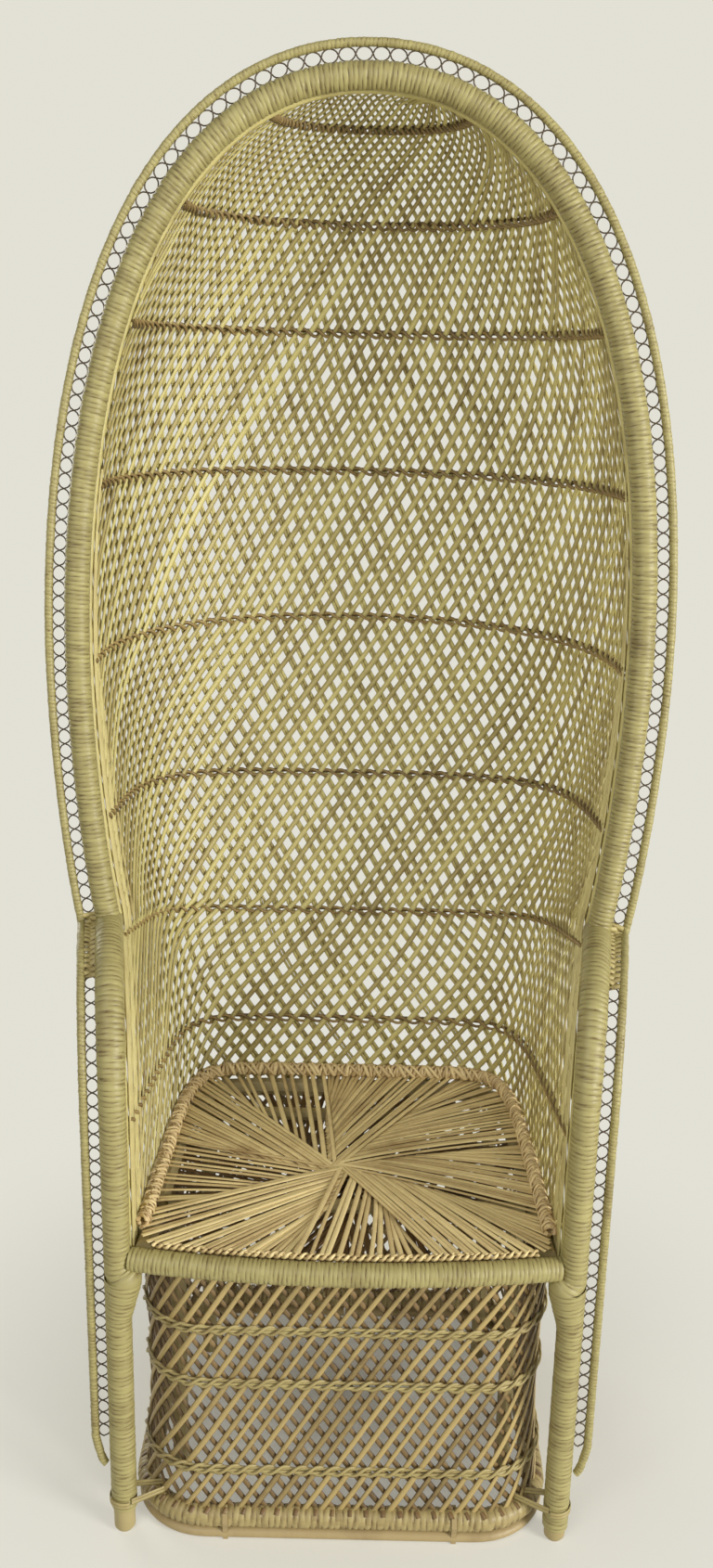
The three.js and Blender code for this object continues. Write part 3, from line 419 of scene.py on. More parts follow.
def on_guide(value):
    """A value of the guide sheet under each drawn point, and whether the sheet reaches there."""
    node = lay.add("GeometryNodeSampleUVSurface", data_type="FLOAT_VECTOR")
    sockets = [s for s in node.inputs if s.enabled]
    for socket, part in zip(sockets, (sheet, value, named("UVMap"), drawn_at)):
        lay.put(socket, part)
    return [s for s in node.outputs if s.enabled][:2]


spot, on_it = on_guide(lay.add("GeometryNodeInputPosition").outputs[0])
off_it = lay.first("FunctionNodeBooleanMath", on_it, operation="NOT")
strands, spot = lay.keep(strands, "spot", spot, "VECTOR")
strands, facing = lay.keep(strands, "facing", on_guide(named("facing"))[0], "VECTOR")
strands, rising = lay.keep(strands, "rising", on_guide(named("rising"))[0], "VECTOR")
strands, turn_angle = lay.keep(strands, "turn", lay.sum("MULTIPLY", drawn[2], 2 * math.pi))
strands, height = lay.keep(strands, "height", drawn[1])
strands, off_it = lay.keep(strands, "off", off_it, "BOOLEAN")
lot = lay.add("FunctionNodeRandomValue", data_type="FLOAT")
lay.put(lot.inputs["ID"], lay.add("GeometryNodeInputIndex").outputs[0])
lay.put(lot.inputs["Seed"], seed)
strands, lot = lay.keep(strands, "lot", [s for s in lot.outputs if s.enabled][0], "FLOAT", "CURVE")
cropped = lay.add("GeometryNodeDeleteGeometry", strands, off_it, domain="POINT").outputs[0]
outwards = lay.sum("MULTIPLY_ADD", lay.sum("COSINE", turn_angle), twist_depth, depth)
upwards = lay.sum("MULTIPLY", lay.sum("SINE", turn_angle), twist_height)
shift = lay.vector("ADD", lay.vector("SCALE", facing, outwards), lay.vector("SCALE", rising, upwards))
placed = lay.add("GeometryNodeSetPosition", cropped, True, lay.vector("ADD", spot, shift)).outputs[0]
turned = lay.add("GeometryNodeSetCurveNormal", placed, True, facing, mode="FREE").outputs[0]
placed, run = lay.keep(turned, "run", lay.add("GeometryNodeSplineParameter").outputs["Length"])
size = lay.sum("MULTIPLY_ADD", lay.sum("MULTIPLY_ADD", lot, 2.0, -1.0), uneven, 1.0)
thinning = lay.sum("MULTIPLY", taper, lay.sum("POWER", height, 5.0))
size = lay.sum("MULTIPLY", size, lay.sum("SUBTRACT", 1.0, thinning))
section, round_strand = lay.circle(sides, 0.5)
edge = lay.sum("ABSOLUTE", lay.sum("SINE", lay.sum("MULTIPLY", round_strand, 2 * math.pi)))
shaped = lay.add("GeometryNodeTransform", section)
lay.put(shaped.inputs["Scale"], lay.add("ShaderNodeCombineXYZ", thickness, width, 1.0).outputs[0])
kept = lay.add("GeometryNodeCurveToMesh", placed, shaped.outputs[0], size, True).outputs[0]
kept = lay.store(kept, "strand", lot)
kept = lay.store(kept, "along", run)
# strand edges, which the cane finishes darken: painted shade between neighbouring strands, partly dirt
kept = lay.store(kept, "edge", lay.sum("MULTIPLY", lay.sum("POWER", edge, 4.0), 0.6))
lay.hand_out(kept, finish)


def laid(name, lines, slot, *nodes, **values):
    """Strands laid along lines on a guide sheet, hung on the chair in place of the solids named."""
    fitted(made_by(lay.tree, name, line_mesh(lines), **values), slot, *nodes)


def drawn_line(across, up, turns=0.0):
    """A line on a guide sheet: how far across and up its points lie, and its turns at each of them."""
    return np.stack(np.broadcast_arrays(across, up, turns), 1).astype(float)


dark_lace = cane_finish("dark lace", (0.075, 0.048, 0.02), (0.03, 0.018, 0.008), variation=0.2)
pale_weave = strand_finish("pale weave", (0.56, 0.47, 0.195), (0.18, 0.11, 0.034), 0.6)
rim_offset, rim_radius, lace_pitch, weave_pitch, lace_inside, lace_outside = mm(32.5, 4.8, 17, 4.2, 1, 4)
lace_swing, lace_roundness, hook_curve = 0.48, 0.55, 0.6


def laced_rim(name, frame_line, outward, frame_radius, hook, hook_length, lace_ends, dense_ends):
    """One rim with its lace: the rim's line beside the frame's, then the strands that cross between the two,
    and the weave that fills the dense ends."""
    travelled = steps_along(frame_line)
    length = travelled[-1]
    reach = hook + (rim_offset - hook) * np.clip(travelled / hook_length, 0, 1) ** hook_curve
    rim_line = frame_line + outward * reach[:, None]
    wound(name + "_rim_winding", [rim_line], "bound_cane", name + "_rim", radius=rim_radius,
          turn_width=0.0045, seam_depth=0.0006, sides=10, finish=bound_cane)
    inner = frame_line + outward * (frame_radius - lace_inside)
    guide = woven_surface(name + "_lace_guide", [inner, rim_line - outward * lace_outside], (0, 1), 1)
    rings = round((length - lace_ends[0] - lace_ends[1]) / lace_pitch)
    start, end = lace_ends[0] / length, 1 - lace_ends[1] / length
    phase = np.linspace(0, rings, rings * 10 + 1)
    swing = np.sin(math.pi * phase)
    wave = lace_swing * np.sign(swing) * np.abs(swing) ** lace_roundness
    lines = [drawn_line(start + (end - start) * phase / rings, 0.5 + side * wave, phase / 2 + (side < 0) / 2)
             for side in (1, -1)]
    laid(name + "_lace_strands", lines, "dark_lace", name + "_lace", guide=guide, width=0.0018,
         thickness=0.0018, twist_depth=0.0007, uneven=0.05, sides=5, finish=dark_lace)
    across, rows = np.linspace(0, 1, 9), []
    slants = np.random.default_rng(3)
    for dense, first, way in ((dense_ends[0], 0, 1), (dense_ends[1], 1, -1)):
        for k in range(round(dense / weave_pitch)):
            place = (k + 0.5) * weave_pitch + slants.uniform(-0.004, 0.004) * (across - 0.5)
            place = np.clip(first + way * place / length, 0.001, 0.999)
            rows.append(drawn_line(place, across, 0.5 * (k % 2) + 0.5 * across))
    laid(name + "_top_weave", rows, "bound_cane", guide=guide, width=0.0072, thickness=0.0026,
         twist_depth=0.0022, sides=6, seed=2, finish=pale_weave)
    bpy.data.objects.remove(guide)


lean_normal = np.array([0, 1, -hoop_lean]) / math.hypot(1, hoop_lean)
hoop_out = unit(np.cross(np.gradient(hoop_line, axis=0), lean_normal))
laced_rim("hoop", hoop_line, hoop_out, hoop_radius, hook=rim_offset, hook_length=0.075,
          lace_ends=(0.018, 0.018), dense_ends=(0.018, 0.018))
arm_rim_foot, arm_hook = mm(95, 20.8)
arm_rim_line = [(post_x, front, h) for h in np.linspace(arm_rim_foot, bound_top, 12)]
arm_rim_line = evenly(np.vstack([arm_rim_line, arm_line]), 220)
for side, name in ((1, "right"), (-1, "left")):
    rim_base = arm_rim_line * (side, 1, 1)
    arm_run = unit(np.gradient(rim_base, axis=0))
    arm_out = unit(np.array([side, 0, 0]) - arm_run * (arm_run[:, :1] * side))
    laced_rim(name + "_arm", rim_base, arm_out, bound_radius, arm_hook, hook_length=0.04,
              lace_ends=(0.04, 0.096), dense_ends=(0, 0.098))

# Back and hood. One open lattice of round reed from arm to arm: single stakes lean one way inside, split
# pairs the other way behind them, upright ones follow each edge, and eight twisted rows hold the crossings.
# A thin reed behind hoop, posts and arms closes its edge, and cane binds its foot.
post_edge, hoop_edge, lattice_inset, lattice_foot = mm(15.8, 14.8, 12, 379)
seat_depth, back_reach, back_widest = mm(428, 560, 1150)
sweep_drop, sweep_level, seat_taper, arm_tuck, cap_half, joint_rise = mm(75, 1060, 15, 182.5, 85, 12.5)
seat_square, hood_square = 8, 2.2
back_columns, arm_steps = 81, 161
arch_steps = np.linspace(0, 1, 400)
arch = bezier(hoop_bends[3:], arch_steps)
cap_share = np.interp(-cap_half, -arch[:, 0], arch_steps)
foot_share = joint_rise / (hoop_widest - arm_height)


def behind_hoop(point):
    return np.array([point[0] - lattice_inset, max(point[1] + hoop_edge, front + arm_tuck), point[2]])


def behind_arm(share):
    angle = share * math.pi / 2
    inside = np.array([0, (arm_height - arm_start) * math.cos(angle), -arm_reach * math.sin(angle)])
    back = 1 - math.cos(angle)
    point = np.array([post_x + arm_flare * back - lattice_inset, front + arm_reach * back,
                      arm_start + (arm_height - arm_start) * math.sin(angle)])
    return point + unit(inside) * post_edge


def edge_point(level):
    """The lattice's right edge: 0 to 1 behind the post, to 2 the bend, to 3 under the arm, to 4 and on up the
    hoop."""
    stretch = min(int(level), 5)
    t = level - stretch
    if stretch == 0:
        height = lattice_foot + (arm_start - lattice_foot) * t
        return np.array([post_x - lattice_inset, front + post_edge, height])
    if stretch == 1:
        return behind_arm(t)
    under_arm = np.array([arm_end_x - lattice_inset, front + arm_tuck, arm_height - post_edge])
    if stretch == 2:
        return behind_arm(1) * (1 - t) + under_arm * t
    if stretch == 3:
        return under_arm * (1 - t) + behind_hoop(bezier(hoop_bends[:4], [foot_share])[0]) * t
    if stretch == 4:
        return behind_hoop(bezier(hoop_bends[:4], [foot_share + (1 - foot_share) * t])[0])
    return behind_hoop(bezier(hoop_bends[3:], [t * cap_share])[0])


crown_depth = hoop_point(0, crown)[1] + hoop_edge


def back_depth(height):
    if height <= back_widest:
        share = (height - lattice_foot) / (back_widest - lattice_foot)
        return front + seat_depth + (back_reach - seat_depth) * math.sin(share * math.pi / 2) ** 2
    rise = min((height - back_widest) / (crown - back_widest), 1)
    return crown_depth + (front + back_reach - crown_depth) * math.sqrt(1 - rise * rise)


arm_levels = np.linspace(0, 4, arm_steps)
arm_edge_steps = steps_along(np.array([edge_point(level) for level in arm_levels]))


def back_height(level):
    foot = edge_point(4)[2]
    if level <= 4:
        share = np.interp(level, arm_levels, arm_edge_steps / arm_edge_steps[-1])
        return lattice_foot + (foot - sweep_drop - lattice_foot) * share
    rise = min((edge_point(level)[2] - foot) / (sweep_level - foot), 1)
    return edge_point(level)[2] - sweep_drop * (1 - rise) ** 2


def back_row(level):
    """One row of the back from its left edge to its right: square round the seat, round in the hood."""
    edge, height = edge_point(level), back_height(level)
    rise = min(max((height - lattice_foot) / (sweep_level - lattice_foot), 0), 1)
    power = 2 / (seat_square + (hood_square - seat_square) * rise)
    angle = np.linspace(-math.pi / 2, math.pi / 2, 641)
    back = np.abs(np.cos(angle)) ** power
    back[[0, -1]] = 0
    half = edge[0] - seat_taper * (1 - rise) * back
    row = np.stack([np.sign(angle) * np.abs(np.sin(angle)) ** power * half,
                    edge[1] + (back_depth(height) - edge[1]) * back, edge[2] + (height - edge[2]) * back], 1)
    return evenly(row, back_columns)


last_level = 5.9999
last_row = back_row(last_level)


def cap_row(share):
    """One row of the hood's top, which bends forward from the back's last row to the hoop's crown."""
    reach = np.abs(last_row[:, 0]) + lattice_inset
    crown_y, crown_z = (np.interp(-reach, -arch[:, 0], arch[:, k]) for k in (1, 2))
    lip = crown_y + hoop_edge
    turn = share * math.pi / 2
    row = np.stack([last_row[:, 0], lip + (np.maximum(last_row[:, 1], lip) - lip) * math.cos(turn),
                    last_row[:, 2] + (crown_z - last_row[:, 2]) * math.sin(turn)], 1)
    row[[0, -1]] = last_row[[0, -1]]
    return row


levels = [np.linspace(0, 1, 7)]
for first, last, count in ((1, 2, 9), (2, 4, 7), (4, 5, 13), (5, last_level, 31)):
    levels.append(np.linspace(first, last, count)[1:])
back_rows = [back_row(level) for level in np.concatenate(levels)]
back_rows = np.array(back_rows + [cap_row(share) for share in np.linspace(0, 1, 9)[1:]])
back_steps = steps_along(back_rows[:, back_columns // 2])
back_rise = back_steps[-1]
rows_up = back_steps / back_rise
row_lengths = np.array([steps_along(row)[-1] for row in back_rows])
back_guide = woven_surface("back_guide", back_rows, rows_up, -1)

round_reed = strand_finish("round reed", (0.63, 0.555, 0.22), (0.18, 0.115, 0.032), 0.85)
edge_reed = strand_finish("edge reed", (0.70, 0.62, 0.275), (0.27, 0.175, 0.055), 0.7)
stake_count, stake_points, lean_measured_over = 54, 90, 1.15
inside_lean, behind_lean = 0.73 * back_rise / lean_measured_over, -0.53 * back_rise / lean_measured_over
low_inside, low_behind = 1.06, 1.2
hood_row, most_lean, fan_row, fan_share = 0.92, 1.9, 0.76, 0.6
chance = np.random.default_rng(7)


def drift_at(up, low_lean):
    """How far a stake has gone sideways at a height: it leans more below the arms, and keeps its slope where
    the rows shorten in the hood."""
    steps = np.linspace(0, 1, 501)
    steeper = np.clip(hood_row / np.interp(steps, rows_up, row_lengths), 1, most_lean)
    rates = np.interp(steps, (0.3, 0.5), (low_lean, 1.0)) * steeper
    return np.interp(up, steps, np.cumsum(rates) / 501)


def leaning_lines(lean, low_lean, spread=0.0):
    """Lines drawn across the back from edge to edge, each a little off its place; spread splits a line into a
    pair."""
    up = np.linspace(0.001, 0.999, stake_points)
    fan = np.interp(up, rows_up, np.maximum(1, fan_row / row_lengths) ** fan_share)
    drift = lean * drift_at(up, low_lean)
    spare = math.ceil(abs(drift[-1]) * stake_count)
    lines = []
    for k in range(-spare, stake_count + spare + 1):
        place = (k + 0.5 + chance.uniform(-0.07, 0.07)) / stake_count
        sway = chance.uniform(-0.14, 0.14) / stake_count
        bow = sway * np.sin(up * chance.uniform(4, 9) + chance.uniform(0, 6))
        for side in ((-1, 1) if spread else (0,)):
            across = 0.5 + (place + drift - 0.5) * fan + bow + side * spread * chance.uniform(0.8, 1.2)
            inside = (across > 0.001) & (across < 0.999)
            if inside.sum() > 2:
                lines.append(drawn_line(across, up)[inside])
    return lines


laid("back_stakes_inside", leaning_lines(inside_lean, low_inside), "round_reed", "back_lattice",
     guide=back_guide, width=0.0084, thickness=0.0028, depth=-0.0042, uneven=0.14, taper=0.6, sides=6, seed=3,
     finish=round_reed)
edge_places = (0.003, 0.009, 0.015, 0.022, 0.030, 0.039, 0.049)
edge_tops = (0.62, 0.57, 0.52, 0.47, 0.45, 0.42, 0.38)
edge_stakes = []
for place, top in zip(edge_places, edge_tops):
    up = np.linspace(0.001, top, stake_points)
    for side in (0, 1):
        sway = 0.004 * np.sin(up * 5 + place * 900 + side) * (place > 0.02)
        edge_stakes.append(drawn_line(np.abs(side - place - sway), up))
laid("back_edge_stakes", edge_stakes, "round_reed", "back_lattice", guide=back_guide, width=0.0078,
     thickness=0.0026, depth=-0.0044, uneven=0.2, sides=6, seed=4, finish=edge_reed)
laid("back_stakes_behind", leaning_lines(behind_lean, low_behind, spread=0.0020), "round_reed",
     "back_lattice", guide=back_guide, width=0.0047, thickness=0.0026, depth=-0.0002, uneven=0.14, taper=0.6,
     sides=5, seed=5, finish=round_reed)

# The twined bands' reed is dark brown, partly its own colour and partly painted shade: its near-black stained
# end stands for the dark voids at the crossings
band_reed_and_painted_shade = strand_finish("band reed and painted shade", (0.34, 0.235, 0.085), (0.055, 0.028, 0.01), 0.7)
band_shadow = cane_finish("band shadow", (0.13, 0.08, 0.028), (0.05, 0.028, 0.01), variation=0.4)
band_heights = np.cumsum([108, 158, 196, 222, 201, 183, 141, 134]) / 1000 / back_rise
shadow_strip_above = 0.0024 / back_rise
across = np.linspace(0.002, 0.998, stake_count * 6)
for number, height in enumerate(band_heights, 1):
    turns = (across - inside_lean * drift_at(height, low_inside)) * stake_count / 2 - 0.25
    weavers = [drawn_line(across, height, turns + half) for half in (0, 0.5)]
    laid(f"back_twining_{number}", weavers, "round_reed", f"back_band_{number}", guide=back_guide,
         width=0.0044, thickness=0.0030, depth=-0.0042, twist_height=0.0044, twist_depth=0.0034, uneven=0.08,
         sides=6, seed=number, finish=band_reed_and_painted_shade)
    # a thin dark strip just above each band, with no reed of its own: painted shadow behind the top of the
    # twining
    laid(f"back_filler_{number}", [drawn_line(across, height + shadow_strip_above)], "round_reed",
         f"back_band_{number}", guide=back_guide, width=0.0052, thickness=0.0010, depth=-0.0022, uneven=0.1,
         sides=6, seed=50 + number, finish=band_shadow)
bpy.data.objects.remove(back_guide)

tuck_behind_hoop, tuck_behind_arm = 0.94, 0.93
hoop_tuck = lean_normal * hoop_edge - hoop_out[bound_hoop] * lattice_inset
edge_lines = [hoop_line[bound_hoop] + hoop_tuck * tuck_behind_hoop]
inner_arm = arm_rim_line[arm_rim_line[:, 2] > lattice_foot]
arm_inside = np.cross(unit(np.gradient(inner_arm, axis=0)), (1, 0, 0))
for side in (1, -1):
    arm_shift = (arm_inside * post_edge - (lattice_inset, 0, 0)) * tuck_behind_arm
    edge_lines.append((inner_arm + arm_shift) * (side, 1, 1))
wound("back_edge_reed", edge_lines, "round_reed", radius=0.0036, turn_width=0.021, seam_depth=0.0003, sides=8,
      finish=round_reed)
wound("back_foot_binding", [evenly(back_row(0), 200) + (0, 0, 0.003)], "bound_cane", radius=0.0062,
      turn_width=0.0056, seam_depth=0.0009, sides=12, finish=bound_cane)

# Seat. A bound front rail bowed forward, a bare bent frame and two bars under it, and flat split strands
# drawn from all edges to the middle in nine fans, each fan's first strand over the fan before it. A plait
# under short strand ends borders three sides, and a twine runs along the rail.
seat_top, rail_height, rail_bow = mm(405, 384.7, 21)
rail_end = post_x - post_edge
rail_share = np.linspace(-1, 1, 40)
rail_line = np.stack([rail_share * rail_end, front - rail_bow * (1 - rail_share ** 2),
                      0 * rail_share + rail_height], 1)
wound("rail_winding", [rail_line], "bound_cane", "seat_rail_binding", radius=0.014, turn_width=0.0052,
      seam_depth=0.0010, sides=18, finish=bound_cane)
dressed(bare_pole, "seat_front_rail", "seat_frame", "seat_bar_front", "seat_bar_rear", "right_front_upright",
        "left_front_upright", "right_rear_upright", "left_rear_upright")

nail_steel = cane_finish("nail steel", (0.33, 0.32, 0.30), (0.13, 0.10, 0.08), variation=0.2)
nail_steel.node_tree.nodes["Principled BSDF"].inputs["Metallic"].default_value = 1
dowel_wood = cane_finish("dowel wood", (0.48, 0.34, 0.19), (0.24, 0.14, 0.06), variation=0.3)
dressed(nail_steel, "right_rail_nail", "left_rail_nail")
dressed(dowel_wood, "right_hoop_dowel", "left_hoop_dowel")

# Flat cane for the seat's top strands and the twine: pale split cane, made paler than its own colour as
# painted light on the seat's top
flat_cane = strand_finish("flat cane", (0.86, 0.70, 0.345), (0.27, 0.15, 0.05), 0.75)
shaded_cane = cane_finish("shaded cane", (0.20, 0.12, 0.045), (0.07, 0.035, 0.012), variation=0.5)
sheet_half, sheet_lead, sheet_size = 0.3, 0.1, 0.6
seat_sheet = [[(x, front + y, seat_top) for x in (-sheet_half, sheet_half)]
              for y in (-sheet_lead, sheet_size - sheet_lead)]
seat_guide = woven_surface("seat_guide", seat_sheet, (0, 1), 1)
seat_middle = np.array([-0.0126, front + 0.172])
whole_turn = 2 * math.pi


def beside(run):
    """The level direction that points to the right of each step of a line."""
    return np.stack([run[:, 1], -run[:, 0]], 1) / np.linalg.norm(run, axis=1, keepdims=True)


strands_in, behind_rail = mm(9, 7)
seat_row = back_row(0)
inwards = np.c_[beside(np.gradient(seat_row, axis=0)), np.zeros(back_columns)]
seat_edge = np.vstack([(seat_row + inwards * strands_in)[3:-3],
                       (rail_line[::-1] + (0, behind_rail, 0))[1:-1]])
seat_edge = np.vstack([seat_edge, seat_edge[:1]]) * (1, 1, 0)
seat_edge = evenly(seat_edge, 900)[:, :2] - seat_middle
edge_turn = np.arctan2(seat_edge[:, 1], seat_edge[:, 0]) % whole_turn
seat_edge, edge_turn = seat_edge[np.argsort(edge_turn)], np.sort(edge_turn)
fan_starts = np.radians([129.7, 164.7, 204.9, 255.7, 301.8, 338.4, 375.9, 416.3, 455.1, 489.7])
fan_strands = [21, 13, 27, 13, 24, 23, 25, 22, 11]
fan_bows = mm(0, 0, 0, 0, 2, 4, 5, 0, 0)
fan_inset, run_under = 0.72, 0.020
first_high, fan_fall, over_next, tuck_down = 0.75, 1.4, 0.30, 0.9


def edge_at(angle):
    """The seat's edge in one direction from its middle."""
    return np.array([np.interp(angle % whole_turn, edge_turn, seat_edge[:, axis], period=whole_turn)
                     for axis in (0, 1)])


def seat_fans(counts, turned):
    """The strands of the nine fans as lines on the seat's guide, each run in under the next fan's first
    strand; the third coordinate tells how high each point lies."""
    lines = []
    way = np.linspace(0, 1, 14)[:, None]
    for count, bow, start, end in zip(counts, fan_bows, fan_starts[:-1] + turned, fan_starts[1:] + turned):
        aside = np.array([-math.sin((start + end) / 2), math.cos((start + end) / 2)])
        for k in range(count):
            share = (k + 0.5 + chance.uniform(-0.25, 0.25)) / count
            outer = edge_at(start + (end - start) * share)
            inner = edge_at(end) * fan_inset * share
            inner = inner + unit(inner - outer) * run_under
            sag = np.sin(math.pi * way) * (bow * (1 - share) + chance.uniform(-0.0016, 0.0016))
            spots = seat_middle + outer * (1 - way) + inner * way + aside * sag
            high = first_high - fan_fall * share + over_next * (k % 2) - tuck_down * way[:, 0] ** 8
            lines.append(drawn_line((spots[:, 0] + sheet_half) / sheet_size,
                                    (spots[:, 1] - front + sheet_lead) / sheet_size,
                                    np.arccos(np.clip(high, -1, 1)) / whole_turn))
    return lines


laid("seat_strands", seat_fans(fan_strands, 0.0), "flat_cane", "seat_weave", guide=seat_guide, width=0.0061,
     thickness=0.0014, depth=-0.0005, twist_depth=0.0036, uneven=0.2, sides=8, seed=11, finish=flat_cane)
laid("seat_strands_below", seat_fans([13] * 9, 0.35), "flat_cane", "seat_weave", guide=seat_guide,
     width=0.0075, thickness=0.0015, depth=-0.026, twist_depth=0.0026, uneven=0.2, sides=6, seed=13,
     finish=shaded_cane)
bpy.data.objects.remove(seat_guide)


def standing_strip(name, line, half):
    """A guide sheet that stands upright along a line."""
    return woven_surface(name, [line - (0, 0, half), line + (0, 0, half)], (0, 1), 1)


border_inset, border_rise, border_half, over_radius = mm(12.5, 7.5, 8, 9.8)
twine_inset, twine_rise, twine_half = mm(9.5, 16.5, 5)
plait_turns, twine_turns, end_count = 54, 26, 130
border_line = seat_row + inwards * border_inset
border_line[:, 2] = seat_top + border_rise
border_line = evenly(border_line[1:-1], 200)
border_side = beside(np.gradient(border_line, axis=0))
border_guide = standing_strip("border_guide", border_line, border_half)
share = np.linspace(0.001, 0.999, 900)
plait = [drawn_line(share, 0.5, share * plait_turns + part / 3) for part in range(3)]
border_cane = strand_finish("border cane", (0.88, 0.70, 0.36), (0.32, 0.19, 0.075), 0.8)
laid("seat_plait", plait, "flat_cane", "seat_border", guide=border_guide, width=0.0066, thickness=0.0050,
     twist_height=0.0070, twist_depth=0.0056, uneven=0.3, sides=7, seed=17, finish=border_cane)
bpy.data.objects.remove(border_guide)
over_rows = [border_line + np.c_[over_radius * math.cos(turn) * border_side,
                                 np.full(len(border_side), over_radius * math.sin(turn))]
             for turn in np.radians([-30, 15, 60, 105, 150])]
over_guide = woven_surface("over_guide", over_rows, np.linspace(0, 1, 5), 1)
way = np.linspace(0.02, 0.98, 9)
end_places = np.linspace(0.01, 0.99, end_count) + chance.uniform(-0.003, 0.003, end_count)
ends = [drawn_line(np.clip(place + (way - 0.5) * chance.uniform(-0.022, 0.004), 0.001, 0.999), way * reach)
        for place, reach in zip(end_places, chance.uniform(0.6, 0.98, end_count))]
laid("seat_plait_ends", ends, "flat_cane", "seat_border", guide=over_guide, width=0.0050, thickness=0.0018,
     uneven=0.3, sides=6, seed=18, finish=border_cane)
bpy.data.objects.remove(over_guide)

twine_guide = standing_strip("twine_guide", rail_line[2:-2] + (0, twine_inset, twine_rise), twine_half)
share = np.linspace(0.001, 0.999, 520)
twine = [drawn_line(share, 0.5, share * twine_turns + half) for half in (0, 0.5)]
laid("seat_twine", twine, "flat_cane", "seat_weave", guide=twine_guide, width=0.0048, thickness=0.003,
     twist_height=0.0026, twist_depth=0.0026, uneven=0.1, sides=6, seed=19, finish=flat_cane)
bpy.data.objects.remove(twine_guide)

# Base. A drum of lattice under the seat: flat stakes lean one way on the outside and the other way inside,
# three twined bands hold them, and their ends are bound into a ring of pole, which stands on a split runner
# tied to it.
base_half_width, base_half_depth, base_middle, base_corner = mm(246.2, 211.6, 203.6, 80)
base_foot, base_top, base_waist, ring_height, ring_radius = mm(42.6, 370.4, 8, 28.8, 13.5)


def base_loop(inset, height, count=401, turns=1.0):
    """Points round the base, evenly apart, from the middle of the back by way of the chair's left."""
    radius = base_corner - inset
    across, deep = base_half_width - base_corner, base_half_depth - base_corner
    points = [(0, deep + radius)]
    for x, y, quarter in ((-1, 1, 1), (-1, -1, 2), (1, -1, 3), (1, 1, 4)):
        for angle in np.linspace(quarter, quarter + 1, 10) * math.pi / 2:
            points.append((x * across + radius * math.cos(angle), y * deep + radius * math.sin(angle)))
    points = np.array(points + [(0, deep + radius)])
    steps = steps_along(points)
    places = np.linspace(0, turns, count) % 1.0 * steps[-1]
    places[-1] = steps[-1] if turns == 1 else places[-1]
    return np.stack([np.interp(places, steps, points[:, 0]),
                     front + base_middle + np.interp(places, steps, points[:, 1]), 0 * places + height], 1)


def base_inset(height):
    return base_waist * max(0, math.sin(math.pi * (height - base_foot) / (base_top - base_foot)))


base_turns, base_stakes, stake_tail = 1.25, 82, 0.012
base_heights = np.linspace(base_foot - stake_tail, base_top, 14)
base_rows = [base_loop(base_inset(height), height, turns=base_turns) for height in base_heights]
base_guide = woven_surface("base_guide", base_rows, np.linspace(0, 1, 14), 1)


def base_lines(lean, first):
    up = np.linspace(0.001, 0.999, 24)
    places = first + (np.arange(base_stakes) + chance.uniform(-0.1, 0.1, base_stakes)) / base_stakes
    return [drawn_line((place + lean * up) / base_turns, up) for place in places]


# The base's stakes are browner than the back's: partly their own colour, partly painted shade under the seat
base_reed_and_painted_shade = strand_finish("base reed and painted shade", (0.45, 0.335, 0.13), (0.07, 0.036, 0.012), 1.0)
# The inside stakes are darker still: painted shade inside the drum
inner_reed_in_painted_shade = strand_finish("inner reed in painted shade", (0.24, 0.155, 0.058), (0.05, 0.026, 0.01), 0.9)
laid("base_stakes_outside", base_lines(0.124, 0.02), "round_reed", "base_lattice", guide=base_guide,
     width=0.0070, thickness=0.0030, depth=0.0016, uneven=0.14, sides=8, seed=23, finish=base_reed_and_painted_shade)
laid("base_stakes_inside", base_lines(-0.15, 0.17), "round_reed", "base_lattice", guide=base_guide,
     width=0.0066, thickness=0.0030, depth=-0.0016, uneven=0.14, sides=8, seed=29, finish=inner_reed_in_painted_shade)

base_weave = strand_finish("base weave", (0.44, 0.36, 0.145), (0.13, 0.075, 0.024), 0.7)
band_start, weaver_apart, weaver_wave, wave_rate = 0.05, 0.0085, 0.003, 40
share = np.linspace(0, 1, base_stakes * 8 + 1)
place = (band_start + share) / base_turns
for number, height in enumerate(mm(97, 219, 296), 1):
    up = (height - base_heights[0]) / (base_heights[-1] - base_heights[0])
    weavers = [drawn_line(place, up, share * base_stakes / 2 + half) for half in (0, 0.5)]
    laid(f"base_twining_{number}", weavers, "round_reed", f"base_band_{number}", guide=base_guide,
         width=0.0048, thickness=0.0026, depth=0.0048, twist_height=0.0054, twist_depth=0.0022, uneven=0.05,
         sides=6, seed=30 + number, finish=base_weave)
    weavers = [drawn_line(place, up + side * weaver_apart + weaver_wave * np.sin(share * wave_rate + side))
               for side in (-1, 1)]
    laid(f"base_weaver_{number}", weavers, "round_reed", f"base_band_{number}", guide=base_guide,
         width=0.0048, thickness=0.0022, depth=0.0042, uneven=0.05, sides=6, seed=40 + number,
         finish=base_weave)
bpy.data.objects.remove(base_guide)

